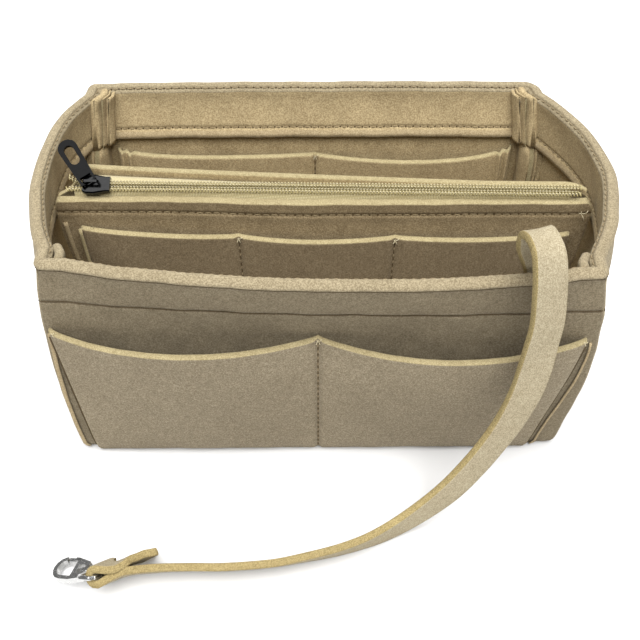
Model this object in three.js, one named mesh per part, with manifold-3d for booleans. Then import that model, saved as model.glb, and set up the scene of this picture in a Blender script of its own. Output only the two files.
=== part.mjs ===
import * as THREE from "three";
import { mergeVertices } from "three/addons/utils/BufferGeometryUtils.js";
import Module from "manifold-3d";

const wasm = await Module();
wasm.setup();

// Driving dimensions, in millimetres, angles in degrees
const feltThickness = 3.5;
const gap = 0.3;
const bodyHeight = 125;
const leftFrontX = -120;
const rightFrontX = 121;
const leftBackX = -122.5;
const rightBackX = 119.5;
const frontY = -70;
const frontSkew = 8;
const frontSkewHeight = 80;
const backY = 72;
const backFlare = 8.5;
const backFlareStart = 85;
const sideSwell = 4.5;
const cornerRadius = 10;
const footInset = 2.5;
const footHeight = 6;
const rimRadius = 3.2;
const facingEdgeHeight = 97.5;
const flangeLength = 18;
const flangeFacingThickness = 9;
const frontBulge = 11;
const frontBulgeStart = 85;
const frontBelly = 1.5;
const backBulge = 1.5;
const leftBulge = 14;
const rightBulge = 21;
const endBulgeLowShare = 0.1;
const endBulgePower = 0.55;
const leftPeakShare = 0.53;
const rightPeakShare = 0.52;
const leftBackPower = 2.8;
const leftFrontPower = 2.3;
const rightPower = 2;

// Outer and inner pockets
const pocketClear = 0.7;
const outerPocketTop = 88;
const outerPocketSag = 5;
const outerPocketStandoff = 9.5;
const outerPocketBottom = 4;
const outerPocketDivider = -0.4;
const outerPocketLeftTop = -119.6;
const outerPocketLeftBase = -111.5;
const outerPocketRightTop = 117.4;
const outerPocketRightBase = 98;
const backPocketStandoff = 9.2;
const innerPocketTop = 89.5;
const innerPocketEndRise = 3;
const innerPocketSag = 3;
const innerPocketStandoff = 5.8;
const innerPocketLeft = -109.5;
const innerPocketRight = 107.5;

// Zipped pouch
const pouchBottom = 3.8;
const pouchFrontTop = 111;
const pouchRearTopLeft = 118;
const pouchRearTopRight = 114;
const pouchLeftClear = 8;
const pouchRightClear = 5;
const pouchLeftX = leftFrontX + pouchLeftClear;
const pouchRightX = rightFrontX - pouchRightClear;
const pouchLeftFlare = leftBulge;
const pouchRightSlack = 5.5;
const pouchRightFlare = rightBulge - pouchRightSlack;
const pouchCornerRadius = 5;
const pouchFrontY = -8;
const pouchFrontShift = 3.6;
const pouchFrontShiftStart = -90;
const pouchBelly = 3;
const pouchRearBaseY = 9;
const pouchRearLeftY = 13.1;
const pouchRearRightY = 2;
const pouchRearBendX = -112;
const pouchRearFallRun = 8.5;
const pouchRearStraightX = 82;
const pouchLeftSeamY = -0.4;
const pouchRightSeamY = -2.2;
const pouchLeftWrap = 12.5;
const pouchRightWrap = 9;
const pouchPocketLeft = -114.3;
const pouchPocketRight = 121.7;
const pouchPocketNarrow = 8;
const pouchPocketTopLeft = 101.5;
const pouchPocketTopRight = 95.3;
const pouchPocketSag = 0.8;
const pouchPocketStandoff = 4.6;
const pouchPocketDividerLeft = -38.6;
const pouchPocketDividerRight = 37.6;

// Zip
const zipStartInset = 5.5;
const tapeStartInset = 9;
const tapeEndInset = 10.5;
const zipEndInset = 5.5;
const zipHomeInset = 21;
const zipStartX = pouchLeftX - pouchLeftFlare + zipStartInset;
const tapeStartX = pouchLeftX - pouchLeftFlare + tapeStartInset;
const tapeEndX = pouchRightX + pouchRightFlare - tapeEndInset;
const zipEndX = pouchRightX + pouchRightFlare - zipEndInset;
const zipHomeX = pouchLeftX - pouchLeftFlare + zipHomeInset;
const zipHomeY = -1.2;
const zipRise = 4;
const zipSlope = 0.0275;
const zipTilt = 32;
const coilWidth = 2.9;
const coilHeight = 1.8;
const coilSplit = 0.15;
const coilLift = -0.2;
const coilOpenRear = 4.2;
const coilOpenFront = 0.5;
const coilOpenRun = 12;
const tapeThickness = 0.8;
const tapeDrop = 0.9;
const tapeRun = 2.2;
const tapeSewDepth = 3;
const tapeClear = 0.4;
const tapeSewClear = 1;
const sliderRear = 7.3;
const sliderFront = 5.7;
const sliderWide = 4.9;
const sliderNarrow = 3.8;
const sliderCrown = 1.2;
const crownEdgeShare = 0.3;
const crownTopShare = 0.85;
const sliderFlange = 0.9;
const sliderLift = 2;
const sliderBaseHalf = 1.2;
const sliderBaseDepth = 1.7;
const sliderBaseThickness = 0.9;
const bridgeStart = -6.5;
const bridgeEnd = 1;
const bridgeHeight = 3.3;
const bridgeThickness = 0.7;
const bridgeWidth = 1.2;
const pullHingeAlong = -3.8;
const pullHingeLift = 1.6;
const pullBarRadius = 0.45;
const pullTwist = 34;
const pullDip = -2;
const pullLength = 25.5;
const pullRootHalf = 3.9;
const pullTipHalf = 4.8;
const pullThickness = 1.6;
const pullEyeHalf = 2.8;
const pullEyeReach = 3.6;
const pullWindowHalf = 2.4;
const pullWindowStart = 11;
const pullWindowEnd = 22;

// Leash strap and snap hook
const strapWidth = 15.5;
const strapStep = 7;
const ringWire = 1.1;
const foldClear = 0.45;
const ringInnerHalf = 8.7;
const ringReach = 7.4;
const ringCentre = [-99.6, -146.8, 9.5];
const hookAxis = [-0.935, 0.235, -0.265];
const hookNormal = [-0.22, 0.2, 0.95];
const stemRadius = 0.9;
const stemLength = 3.4;
const stemHeadRadius = 1.8;
const stemHeadLength = 1;
const hookStart = 5.2;
const hookLength = 17;
const hookHalfWidth = 6.2;
const hookThickness = 3.2;
const hookEndWall = 1.3;
const hookCageLength = 3.6;
const hookCageHalf = 4.4;
const hookCrossbar = 1.7;
const hookFrame = 1.9;
const hookGateThickness = 1.7;
const hookGateRoot = 1;
const hookGateSlot = 1.8;
const hookGateTip = 17.4;
const hookPinRadius = 0.35;

// Colours and surface finish of the materials
const feltColour = 0xbfae8e;
const rawFeltColour = 0xc9b27e;
const tapeColour = 0xd8cca2;
const coilColour = 0xc4b37c;
const nickelColour = 0x8c8f94;
const darkNickelColour = 0x55585d;
const feltRoughness = 0.95;
const tapeRoughness = 0.8;
const coilRoughness = 0.45;
const metalRoughness = 0.25;

// Counts and grid shares
const endShares = [0, 0.06, 0.14, 0.24, 0.36, 0.5, 0.64, 0.76, 0.86, 0.94, 1];
const longShares = [0, 0.03, 0.08, 0.15, 0.23, 0.32, 0.41, 0.5, 0.59, 0.68, 0.77, 0.85, 0.92, 0.97, 1];
const wallShares = [0.12, 0.3, 0.5, 0.7, 0.87, 1];
const facingShares = [0.25, 0.5, 0.75, 1];
const rimShares = [0.45, 0.75, 0.92, 1];
const pocketRowShares = [0, 0.08, 0.22, 0.42, 0.64, 0.84, 1];
const pouchColumnShares = [0, 0.015, 0.03, 0.045, 0.06, 0.085, 0.13, 0.2, 0.3, 0.42, 0.54, 0.66, 0.77, 0.86,
  0.91, 0.94, 0.965, 0.985, 1];
const pouchRowShares = [0, 0.12, 0.3, 0.5, 0.68, 0.82, 0.92, 0.97, 1];
const arcSteps = 5;
const roundSteps = 16;
const pocketSteps = 8;
const slotSteps = 6;

const group = new THREE.Group();
group.name = "purse_organizer_insert";

function material(colour, roughness, metalness) {
  return new THREE.MeshStandardMaterial({ color: colour, roughness, metalness, side: THREE.FrontSide });
}

function volumeOf(geometry) {
  const position = geometry.getAttribute("position");
  const index = geometry.getIndex();
  const a = new THREE.Vector3();
  const b = new THREE.Vector3();
  const c = new THREE.Vector3();
  let total = 0;
  for (let i = 0; i < index.count; i += 3) {
    a.fromBufferAttribute(position, index.getX(i));
    b.fromBufferAttribute(position, index.getX(i + 1));
    c.fromBufferAttribute(position, index.getX(i + 2));
    total += a.dot(b.cross(c));
  }
  return total;
}

function closedGeometry(points, faces) {
  const geometry = new THREE.BufferGeometry();
  const values = [];
  for (const point of points) {
    values.push(point.x, point.y, point.z);
  }
  geometry.setAttribute("position", new THREE.Float32BufferAttribute(values, 3));
  geometry.setIndex(faces.flat());
  if (volumeOf(geometry) < 0) {
    geometry.setIndex(faces.map((face) => [face[0], face[2], face[1]]).flat());
  }
  return geometry;
}

function addNode(name, geometry, colour, roughness, metalness) {
  const shown = geometry.toNonIndexed();
  shown.computeVertexNormals();
  const mesh = new THREE.Mesh(shown, material(colour, roughness, metalness));
  mesh.name = name;
  group.add(mesh);
}

function smooth(value) {
  const share = Math.min(1, Math.max(0, value));
  return share * share * (3 - 2 * share);
}

function mix(a, b, share) {
  return a + (b - a) * share;
}

// Closed solid between two grids of points
function slab(outer, inner, us, vs) {
  const points = [];
  for (const side of [outer, inner]) {
    for (const v of vs) {
      for (const u of us) {
        points.push(side(u, v));
      }
    }
  }
  const columns = us.length;
  const rows = vs.length;
  const layer = columns * rows;
  const at = (side, row, column) => side * layer + row * columns + column;
  const faces = [];
  const quad = (a, b, c, d) => faces.push([a, b, c], [a, c, d]);
  for (let row = 0; row < rows - 1; row += 1) {
    for (let column = 0; column < columns - 1; column += 1) {
      quad(at(0, row, column), at(0, row, column + 1), at(0, row + 1, column + 1), at(0, row + 1, column));
      quad(at(1, row, column), at(1, row + 1, column), at(1, row + 1, column + 1), at(1, row, column + 1));
    }
    const last = columns - 1;
    quad(at(0, row, last), at(1, row, last), at(1, row + 1, last), at(0, row + 1, last));
    quad(at(0, row, 0), at(0, row + 1, 0), at(1, row + 1, 0), at(1, row, 0));
  }
  for (let column = 0; column < columns - 1; column += 1) {
    const top = rows - 1;
    quad(at(0, 0, column), at(1, 0, column), at(1, 0, column + 1), at(0, 0, column + 1));
    quad(at(0, top, column), at(0, top, column + 1), at(1, top, column + 1), at(1, top, column));
  }
  return closedGeometry(points, faces);
}

// Closed solid through rings of equal count, capped by a flat outline
function loft(givenRings, givenOutline) {
  const backwards = THREE.ShapeUtils.isClockWise(givenOutline);
  const outline = backwards ? [...givenOutline].reverse() : givenOutline;
  const rings = backwards ? givenRings.map((ring) => [...ring].reverse()) : givenRings;
  const count = outline.length;
  const points = rings.flat();
  const faces = [];
  for (let ring = 0; ring < rings.length - 1; ring += 1) {
    for (let i = 0; i < count; i += 1) {
      const next = (i + 1) % count;
      const low = ring * count;
      const high = low + count;
      faces.push([low + i, low + next, high + next], [low + i, high + next, high + i]);
    }
  }
  const last = (rings.length - 1) * count;
  for (const [a, b, c] of THREE.ShapeUtils.triangulateShape(outline, [])) {
    faces.push([a, c, b], [last + a, last + b, last + c]);
  }
  return closedGeometry(points, faces);
}

// Flat outline swept along a list of frames
function sweep(frames, outline) {
  const rings = frames.map((frame) => outline.map((point) => frame.at.clone()
    .addScaledVector(frame.across, point.x).addScaledVector(frame.up, point.y)));
  return loft(rings, outline);
}

function roundedOutline(halfWidth, halfHeight, bevel) {
  return [
    new THREE.Vector2(halfWidth - bevel, -halfHeight),
    new THREE.Vector2(halfWidth, -halfHeight + bevel),
    new THREE.Vector2(halfWidth, halfHeight - bevel),
    new THREE.Vector2(halfWidth - bevel, halfHeight),
    new THREE.Vector2(-halfWidth + bevel, halfHeight),
    new THREE.Vector2(-halfWidth, halfHeight - bevel),
    new THREE.Vector2(-halfWidth, -halfHeight + bevel),
    new THREE.Vector2(-halfWidth + bevel, -halfHeight),
  ];
}

function toManifold(geometry) {
  const bare = geometry.clone();
  bare.deleteAttribute("normal");
  bare.deleteAttribute("uv");
  const merged = mergeVertices(bare, 1e-4);
  const mesh = new wasm.Mesh({
    numProp: 3,
    vertProperties: new Float32Array(merged.getAttribute("position").array),
    triVerts: new Uint32Array(merged.getIndex().array),
  });
  return new wasm.Manifold(mesh);
}

function fromManifold(solid) {
  const mesh = solid.getMesh();
  const geometry = new THREE.BufferGeometry();
  geometry.setAttribute("position", new THREE.BufferAttribute(new Float32Array(mesh.vertProperties), 3));
  geometry.setIndex(new THREE.BufferAttribute(new Uint32Array(mesh.triVerts), 1));
  return geometry;
}

function joined(first, ...others) {
  let solid = toManifold(first);
  for (const other of others) {
    solid = solid.add(toManifold(other));
  }
  return fromManifold(solid);
}

function cut(first, ...others) {
  let solid = toManifold(first);
  for (const other of others) {
    solid = solid.subtract(toManifold(other));
  }
  return fromManifold(solid);
}

// Heights of the grid rows, from the foot to the rim
const wallRows = [
  0,
  feltThickness / 2,
  feltThickness + gap / 2,
  feltThickness + gap,
  footHeight,
  ...wallShares.map((share) => mix(footHeight, facingEdgeHeight - gap, share)),
  facingEdgeHeight,
  ...facingShares.map((share) => mix(facingEdgeHeight, bodyHeight - rimRadius, share)),
  ...rimShares.map((share) => bodyHeight - rimRadius + rimRadius * share),
];

// Shape of the felt box
function swellAt(z) {
  const share = z / bodyHeight;
  return sideSwell * 4 * share * (1 - share);
}

function footAt(z) {
  const share = Math.max(0, 1 - z / footHeight);
  return footInset * share * share;
}

function wallThicknessAt(z) {
  return z < facingEdgeHeight - gap / 2 ? feltThickness : 2 * feltThickness;
}

function rimInsetAt(z) {
  const rise = Math.min(Math.max(0, z - (bodyHeight - rimRadius)), rimRadius * 0.985);
  return rimRadius - Math.sqrt(rimRadius * rimRadius - rise * rise);
}

function cornerAt(side, end, z) {
  const leftX = end < 0 ? leftFrontX : leftBackX;
  const rightX = end < 0 ? rightFrontX : rightBackX;
  const x = side < 0 ? leftX : rightX;
  const skew = side > 0 && end < 0 ? frontSkew * smooth(z / frontSkewHeight) : 0;
  const flare = backFlare * smooth((z - backFlareStart) / (bodyHeight - backFlareStart));
  const y = end < 0 ? frontY - skew : backY + flare;
  return {
    x: x + side * (swellAt(z) - footAt(z)),
    y: y - end * footAt(z),
  };
}

function longWallAt(end, u, z) {
  const left = cornerAt(-1, end, z);
  const right = cornerAt(1, end, z);
  const x = mix(left.x + cornerRadius + gap, right.x - cornerRadius - gap, u);
  const arch = 4 * u * (1 - u);
  const shape = end < 0 ? Math.pow(arch, 0.8) : 1 - Math.pow(1 - arch, 2);
  const frontRise = frontBulge * smooth((z - frontBulgeStart) / (bodyHeight - frontBulgeStart))
    + frontBelly * Math.sin(Math.PI * z / bodyHeight);
  const bulge = end < 0 ? frontRise : backBulge;
  return { x, y: mix(left.y, right.y, u) + end * bulge * shape };
}

function longWallY(end, x, z) {
  const left = cornerAt(-1, end, z).x + cornerRadius + gap;
  const right = cornerAt(1, end, z).x - cornerRadius - gap;
  const u = Math.min(1, Math.max(0, (x - left) / (right - left)));
  return longWallAt(end, u, z).y;
}

function endWallAt(side, v, z) {
  const front = cornerAt(side, -1, z);
  const back = cornerAt(side, 1, z);
  const y = mix(front.y + cornerRadius + gap, back.y - cornerRadius - gap, v);
  const peak = side < 0 ? leftPeakShare : rightPeakShare;
  const reach = v < peak ? (peak - v) / peak : (v - peak) / (1 - peak);
  const backPower = side < 0 ? leftBackPower : rightPower;
  const frontPower = side < 0 ? leftFrontPower : rightPower;
  const shape = 1 - Math.pow(reach, v < peak ? frontPower : backPower);
  const rise = mix(endBulgeLowShare, 1, Math.pow(z / bodyHeight, endBulgePower));
  const bulge = side < 0 ? leftBulge : rightBulge;
  return { x: mix(front.x, back.x, v) + side * bulge * rise * shape, y };
}

function longWall(end) {
  const outer = (u, z) => {
    const spot = longWallAt(end, u, z);
    return new THREE.Vector3(spot.x, spot.y - end * rimInsetAt(z), z);
  };
  const inner = (u, z) => {
    const spot = longWallAt(end, u, z);
    return new THREE.Vector3(spot.x, spot.y - end * (wallThicknessAt(z) - rimInsetAt(z)), z);
  };
  return slab(outer, inner, longShares, wallRows);
}

function endWall(side) {
  const outer = (v, z) => {
    const spot = endWallAt(side, v, z);
    return new THREE.Vector3(spot.x - side * rimInsetAt(z), spot.y, z);
  };
  const inner = (v, z) => {
    const spot = endWallAt(side, v, z);
    return new THREE.Vector3(spot.x - side * (wallThicknessAt(z) - rimInsetAt(z)), spot.y, z);
  };
  return slab(outer, inner, endShares, wallRows);
}

// Corner seam with its allowances turned inward
function cornerSeam(side, end) {
  const local = (z) => {
    const low = z < facingEdgeHeight - 2.5 * gap;
    const wall = low ? feltThickness : 2 * feltThickness;
    const flange = low ? 2 * feltThickness : flangeFacingThickness;
    const reach = z < feltThickness + gap ? cornerRadius + gap / 2 : flangeLength;
    const list = [];
    for (let i = 0; i <= arcSteps; i += 1) {
      const angle = Math.PI / 2 * i / arcSteps;
      const reach = [Math.sin(angle), Math.cos(angle)];
      list.push(reach.map((share) => cornerRadius - cornerRadius * share));
    }
    const start = wall + gap;
    list.push([start, cornerRadius], [start, reach], [start + flange, reach], [start + flange, start]);
    list.push([cornerRadius, start]);
    return list;
  };
  const step = [facingEdgeHeight - 3 * gap, facingEdgeHeight - 2 * gap];
  const below = wallRows.filter((z) => z < bodyHeight - rimRadius / 2);
  const rows = [...below, ...step, bodyHeight - rimRadius / 3];
  rows.sort((a, b) => a - b);
  const rings = rows.map((z) => {
    const corner = cornerAt(side, end, z);
    return local(z).map(([x, y]) => new THREE.Vector3(corner.x - side * x, corner.y - end * y, z));
  });
  const outline = rings[rings.length - 1].map((point) => new THREE.Vector2(point.x, point.y));
  return loft(rings, outline);
}

function basePanel() {
  const inset = feltThickness + gap;
  const left = cornerAt(-1, 1, 0).x + inset + 3 * gap + (leftFrontX - leftBackX);
  const right = cornerAt(1, 1, 0).x - inset - 3 * gap;
  const front = frontY + footInset + inset;
  const back = backY - footInset - inset;
  const notch = cornerRadius - feltThickness + gap * 2;
  const tip = flangeLength - cornerRadius - gap;
  const outline = [
    [left, front + notch], [left + notch + tip, front + notch], [left + notch + tip, front],
    [right - notch - tip, front], [right - notch - tip, front + notch], [right, front + notch],
    [right, back - notch], [right - notch - tip, back - notch], [right - notch - tip, back],
    [left + notch + tip, back], [left + notch + tip, back - notch], [left, back - notch],
  ];
  const rings = [0, feltThickness].map((z) => outline.map(([x, y]) => new THREE.Vector3(x, y, z)));
  return loft(rings, outline.map(([x, y]) => new THREE.Vector2(x, y)));
}

// Pocket panels sewn to a long wall, two pockets side by side
function pocketShares() {
  const list = [];
  for (let i = 0; i <= 2 * pocketSteps; i += 1) {
    list.push(i / (2 * pocketSteps));
  }
  return list;
}

function pocketFill(u) {
  return Math.pow(Math.abs(Math.sin(2 * Math.PI * u)), 0.8);
}

function outerPocket(end) {
  const standoff = end < 0 ? outerPocketStandoff : backPocketStandoff;
  const topAt = (u) => outerPocketTop - outerPocketSag * pocketFill(u);
  const leftAt = (z) => mix(outerPocketLeftTop, outerPocketLeftBase, 1 - z / outerPocketTop);
  const rightAt = (z) => mix(outerPocketRightTop, outerPocketRightBase, 1 - z / outerPocketTop);
  const xAt = (u, z) => (u < 0.5
    ? mix(leftAt(z), outerPocketDivider, 2 * u)
    : mix(outerPocketDivider, rightAt(z), 2 * u - 1));
  const at = (depth) => (u, row) => {
    const z = mix(outerPocketBottom, topAt(u), row);
    const x = xAt(u, z);
    const lift = pocketClear + standoff * pocketFill(u) * Math.pow(row, 0.9) + depth;
    return new THREE.Vector3(x, longWallY(end, x, z) + end * lift, z);
  };
  return slab(at(feltThickness), at(0), pocketShares(), pocketRowShares);
}

function innerPocket() {
  const topAt = (u) => innerPocketTop - innerPocketSag * pocketFill(u)
    + innerPocketEndRise * Math.pow(Math.abs(2 * u - 1), 3);
  const at = (depth) => (u, row) => {
    const z = mix(feltThickness + gap, topAt(u), row);
    const x = mix(innerPocketLeft, innerPocketRight, u);
    const lift = pocketClear + innerPocketStandoff * pocketFill(u) * Math.pow(row, 0.7) + depth;
    return new THREE.Vector3(x, longWallY(1, x, z) - feltThickness - lift, z);
  };
  return slab(at(feltThickness), at(0), pocketShares(), pocketRowShares);
}

// Zipped pouch
function pouchLeftAt(z) {
  const share = z / pouchFrontTop;
  const corner = Math.max(0, z - (pouchFrontTop - pouchCornerRadius)) / pouchCornerRadius;
  return pouchLeftX - pouchLeftFlare * smooth(share) + pouchCornerRadius / 4 * corner * corner;
}

function pouchRightAt(z) {
  const share = z / pouchFrontTop;
  const corner = Math.max(0, z - (pouchFrontTop - pouchCornerRadius)) / pouchCornerRadius;
  return pouchRightX + pouchRightFlare * smooth(share) - pouchCornerRadius / 2 * corner * corner;
}

function pouchFrontAt(x, z) {
  const top = pouchFrontY - pouchFrontShift * smooth((x - pouchFrontShiftStart) / -pouchFrontShiftStart);
  const share = Math.min(1, z / pouchFrontTop);
  return top - pouchBelly * Math.sin(Math.PI * Math.min(1, share + 0.1) * 0.95);
}

function pouchRearTopAt(x) {
  const fall = Math.min(1, Math.max(0, (pouchRearBendX - x) / pouchRearFallRun));
  const along = Math.max(0, (x - pouchRearBendX) / (pouchRightX - pouchRearBendX));
  return mix(mix(pouchRearTopLeft, pouchRearTopRight, along), pouchFrontTop, fall);
}

function pouchRearAt(x, z) {
  const along = Math.min(1, Math.max(0, (x - pouchRearBendX) / (pouchRearStraightX - pouchRearBendX)));
  const top = mix(pouchRearLeftY, pouchRearRightY, Math.pow(along, 0.8));
  const middle = mix(pouchRearBaseY, top, smooth(z / pouchFrontTop));
  const leftReach = 1 - Math.min(1, Math.max(0, (x - pouchLeftAt(z)) / pouchLeftWrap));
  const rightReach = 1 - Math.min(1, Math.max(0, (pouchRightAt(z) - x) / pouchRightWrap));
  return mix(mix(middle, pouchLeftSeamY, leftReach), pouchRightSeamY, rightReach * rightReach);
}

function pouchFrontPanel() {
  const at = (depth) => (u, row) => {
    const z = mix(pouchBottom, pouchFrontTop, row);
    const x = mix(pouchLeftAt(z), pouchRightAt(z), u);
    return new THREE.Vector3(x, pouchFrontAt(x, z) + depth, z);
  };
  return slab(at(0), at(feltThickness), pouchColumnShares, pouchRowShares);
}

function pouchRearPanel() {
  const at = (depth) => (u, row) => {
    const topX = mix(pouchLeftAt(pouchFrontTop), pouchRightAt(pouchFrontTop), u);
    const z = mix(pouchBottom, pouchRearTopAt(topX), row);
    const level = Math.min(z, pouchFrontTop);
    const x = mix(pouchLeftAt(level), pouchRightAt(level), u);
    return new THREE.Vector3(x, pouchRearAt(x, level) - depth, z);
  };
  return slab(at(0), at(feltThickness), pouchColumnShares, pouchRowShares);
}

function pouchBottomStrip() {
  const left = pouchLeftAt(pouchBottom) + pouchLeftWrap * 1.4;
  const right = pouchRightAt(pouchBottom) - pouchRightWrap;
  const at = (lift) => (u, v) => {
    const x = mix(left, right, u);
    const z = pouchBottom + feltThickness / 2;
    const front = pouchFrontAt(x, z) + feltThickness + gap * 2;
    const back = pouchRearAt(x, z) - feltThickness - gap * 2;
    return new THREE.Vector3(x, mix(front, back, v), pouchBottom + lift);
  };
  return slab(at(feltThickness), at(0), pouchColumnShares, [0, 1]);
}

function pouchPocketPanel() {
  const bounds = [pouchPocketLeft, pouchPocketDividerLeft, pouchPocketDividerRight, pouchPocketRight];
  const shares = [];
  for (let i = 0; i <= 3 * slotSteps; i += 1) {
    shares.push(i / (3 * slotSteps));
  }
  const fill = (u) => Math.pow(Math.abs(Math.sin(3 * Math.PI * u)), 0.7);
  const xAt = (u) => {
    const cell = Math.min(2, Math.floor(u * 3));
    return mix(bounds[cell], bounds[cell + 1], u * 3 - cell);
  };
  const at = (depth) => (u, row) => {
    const top = mix(pouchPocketTopLeft, pouchPocketTopRight, u) - pouchPocketSag * fill(u);
    const z = mix(pouchBottom, top, row);
    const narrow = pouchPocketNarrow * (1 - z / top) * (1 - 2 * u);
    const x = xAt(u) + narrow;
    const lift = pocketClear + pouchPocketStandoff * fill(u) * Math.pow(row, 0.35) + depth;
    return new THREE.Vector3(x, pouchFrontAt(x, z) - lift, z);
  };
  return slab(at(feltThickness), at(0), shares, pocketRowShares);
}

// Zip: frame along the chain, across it toward the rear, and out of it
const zipAlong = new THREE.Vector3(1, -zipSlope, 0).normalize();
const tilt = THREE.MathUtils.degToRad(zipTilt);
const zipOut = new THREE.Vector3().crossVectors(zipAlong,
  new THREE.Vector3(0, Math.cos(tilt), Math.sin(tilt))).normalize();
const zipAcross = new THREE.Vector3().crossVectors(zipOut, zipAlong);
const zipHome = new THREE.Vector3(zipHomeX, zipHomeY, pouchFrontTop + zipRise);

function zipPoint(along, across, out) {
  return zipHome.clone().addScaledVector(zipAlong, along)
    .addScaledVector(zipAcross, across).addScaledVector(zipOut, out);
}

function coilOffsetAt(along, side) {
  const open = smooth((-sliderRear - along) / coilOpenRun);
  const centre = coilSplit + coilWidth / 2;
  return side * (centre + (side > 0 ? coilOpenRear : coilOpenFront) * open);
}

function coilRow(side) {
  const frames = [];
  const start = zipStartX - zipHomeX;
  const end = zipEndX - zipHomeX;
  const stops = [0, 0.015, 0.03, 0.045, 0.06, 0.09, 0.3, 0.6, 1];
  for (const share of stops) {
    const along = mix(start, end, share);
    const centre = coilOffsetAt(along, side);
    frames.push({ at: zipPoint(along, centre, coilLift + coilHeight / 2), across: zipAcross, up: zipOut });
  }
  return sweep(frames, roundedOutline(coilWidth / 2, coilHeight / 2, coilHeight / 4));
}

function tapeHalf(side) {
  const start = tapeStartX - zipHomeX;
  const end = tapeEndX - zipHomeX;
  const shares = [0, 0.03, 0.06, 0.09, 0.16, 0.28, 0.42, 0.56, 0.7, 0.85, 1];
  const line = (along) => {
    const open = coilOffsetAt(along, side) - side * (coilSplit + coilWidth / 2);
    const near = zipPoint(along, side * tapeClear + open, -tapeDrop);
    const far = zipPoint(along, side * tapeRun + open, -tapeDrop);
    const x = far.x;
    const sewZ = side < 0 ? pouchFrontTop - tapeSewDepth : pouchRearTopAt(x) - tapeSewDepth;
    const level = Math.min(sewZ, pouchFrontTop);
    const sewY = side < 0
      ? pouchFrontAt(x, level) + feltThickness + tapeSewClear + tapeThickness / 2
      : pouchRearAt(x, level) - feltThickness - tapeSewClear - tapeThickness / 2;
    const sewn = new THREE.Vector3(x, sewY, sewZ);
    return [near, far, sewn];
  };
  const at = (half) => (u, v) => {
    const points = line(mix(start, end, u));
    const normals = [];
    for (let i = 0; i < 2; i += 1) {
      const run = points[i + 1].clone().sub(points[i]);
      normals.push(new THREE.Vector3().crossVectors(zipAlong, run).multiplyScalar(side).normalize());
    }
    const normal = v === 1 ? normals[0].clone().add(normals[1]).normalize() : normals[v === 0 ? 0 : 1];
    return points[v].clone().addScaledVector(normal, half * tapeThickness / 2);
  };
  return slab(at(1), at(-1), shares, [0, 1, 2]);
}

function zipBox(fromAlong, toAlong, fromAcross, toAcross, fromOut, toOut) {
  const corners = [
    new THREE.Vector2(fromAcross, fromOut), new THREE.Vector2(toAcross, fromOut),
    new THREE.Vector2(toAcross, toOut), new THREE.Vector2(fromAcross, toOut),
  ];
  const frames = [fromAlong, toAlong].map((along) => ({
    at: zipPoint(along, 0, 0), across: zipAcross, up: zipOut,
  }));
  return sweep(frames, corners);
}

function sliderCrownShell() {
  const profile = (half, out) => new THREE.Vector2(half, out);
  const stops = [
    [-sliderRear, 0.82], [-sliderRear * 0.8, 0.97], [-sliderRear * 0.3, 1],
    [sliderFront * 0.2, 0.86], [sliderFront * 0.6, sliderNarrow / sliderWide],
    [sliderFront, sliderNarrow / sliderWide * 0.92],
  ];
  const inner = coilSplit + coilWidth + gap;
  const top = sliderLift + sliderCrown;
  const outlineAt = (half) => [
    profile(inner, gap), profile(half, gap), profile(half, top - sliderCrown * crownEdgeShare),
    profile(half * crownTopShare, top), profile(-half * crownTopShare, top),
    profile(-half, top - sliderCrown * crownEdgeShare), profile(-half, gap),
    profile(-inner, gap), profile(-inner, sliderLift), profile(inner, sliderLift),
  ];
  const rings = stops.map(([along, share]) => {
    const half = Math.max(sliderWide * share, inner + sliderFlange / 2);
    return outlineAt(half).map((point) => zipPoint(along, point.x, point.y));
  });
  const cap = outlineAt(sliderWide);
  return loft(rings, cap);
}

function sliderBridge() {
  const base = sliderLift + sliderCrown + gap;
  const top = base + bridgeHeight;
  const leg = bridgeThickness;
  const outer = [
    [bridgeStart, base], [bridgeStart, top - leg], [bridgeStart + leg, top],
    [bridgeEnd - leg, top], [bridgeEnd, top - leg], [bridgeEnd, base],
    [bridgeEnd - leg, base], [bridgeEnd - leg, top - leg * 1.2], [bridgeEnd - leg * 1.4, top - leg],
    [bridgeStart + leg * 1.4, top - leg], [bridgeStart + leg, top - leg * 1.2], [bridgeStart + leg, base],
  ];
  const outline = outer.map(([along, out]) => new THREE.Vector2(along, out));
  const frames = [-bridgeWidth / 2, bridgeWidth / 2].map((across) => ({
    at: zipPoint(0, across, 0), across: zipAlong, up: zipOut,
  }));
  return sweep(frames, outline);
}

// Pull tab on the slider's bridge
const twist = THREE.MathUtils.degToRad(pullTwist);
const dip = THREE.MathUtils.degToRad(pullDip);
const pullAxis = zipAlong.clone().multiplyScalar(Math.cos(twist)).addScaledVector(zipAcross, Math.sin(twist));
const pullFlat = zipAlong.clone().multiplyScalar(-Math.sin(twist))
  .addScaledVector(zipAcross, Math.cos(twist));
const pullDirection = pullFlat.clone().multiplyScalar(Math.cos(dip)).addScaledVector(zipOut, Math.sin(dip));
const pullNormal = new THREE.Vector3().crossVectors(pullAxis, pullDirection);
const pullHinge = zipPoint(pullHingeAlong, 0, sliderLift + sliderCrown + pullHingeLift);

function pullPrism(outline, low, high) {
  const frames = [low, high].map((lift) => ({
    at: pullHinge.clone().addScaledVector(pullNormal, lift), across: pullAxis, up: pullDirection,
  }));
  return sweep(frames, outline);
}

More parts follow.
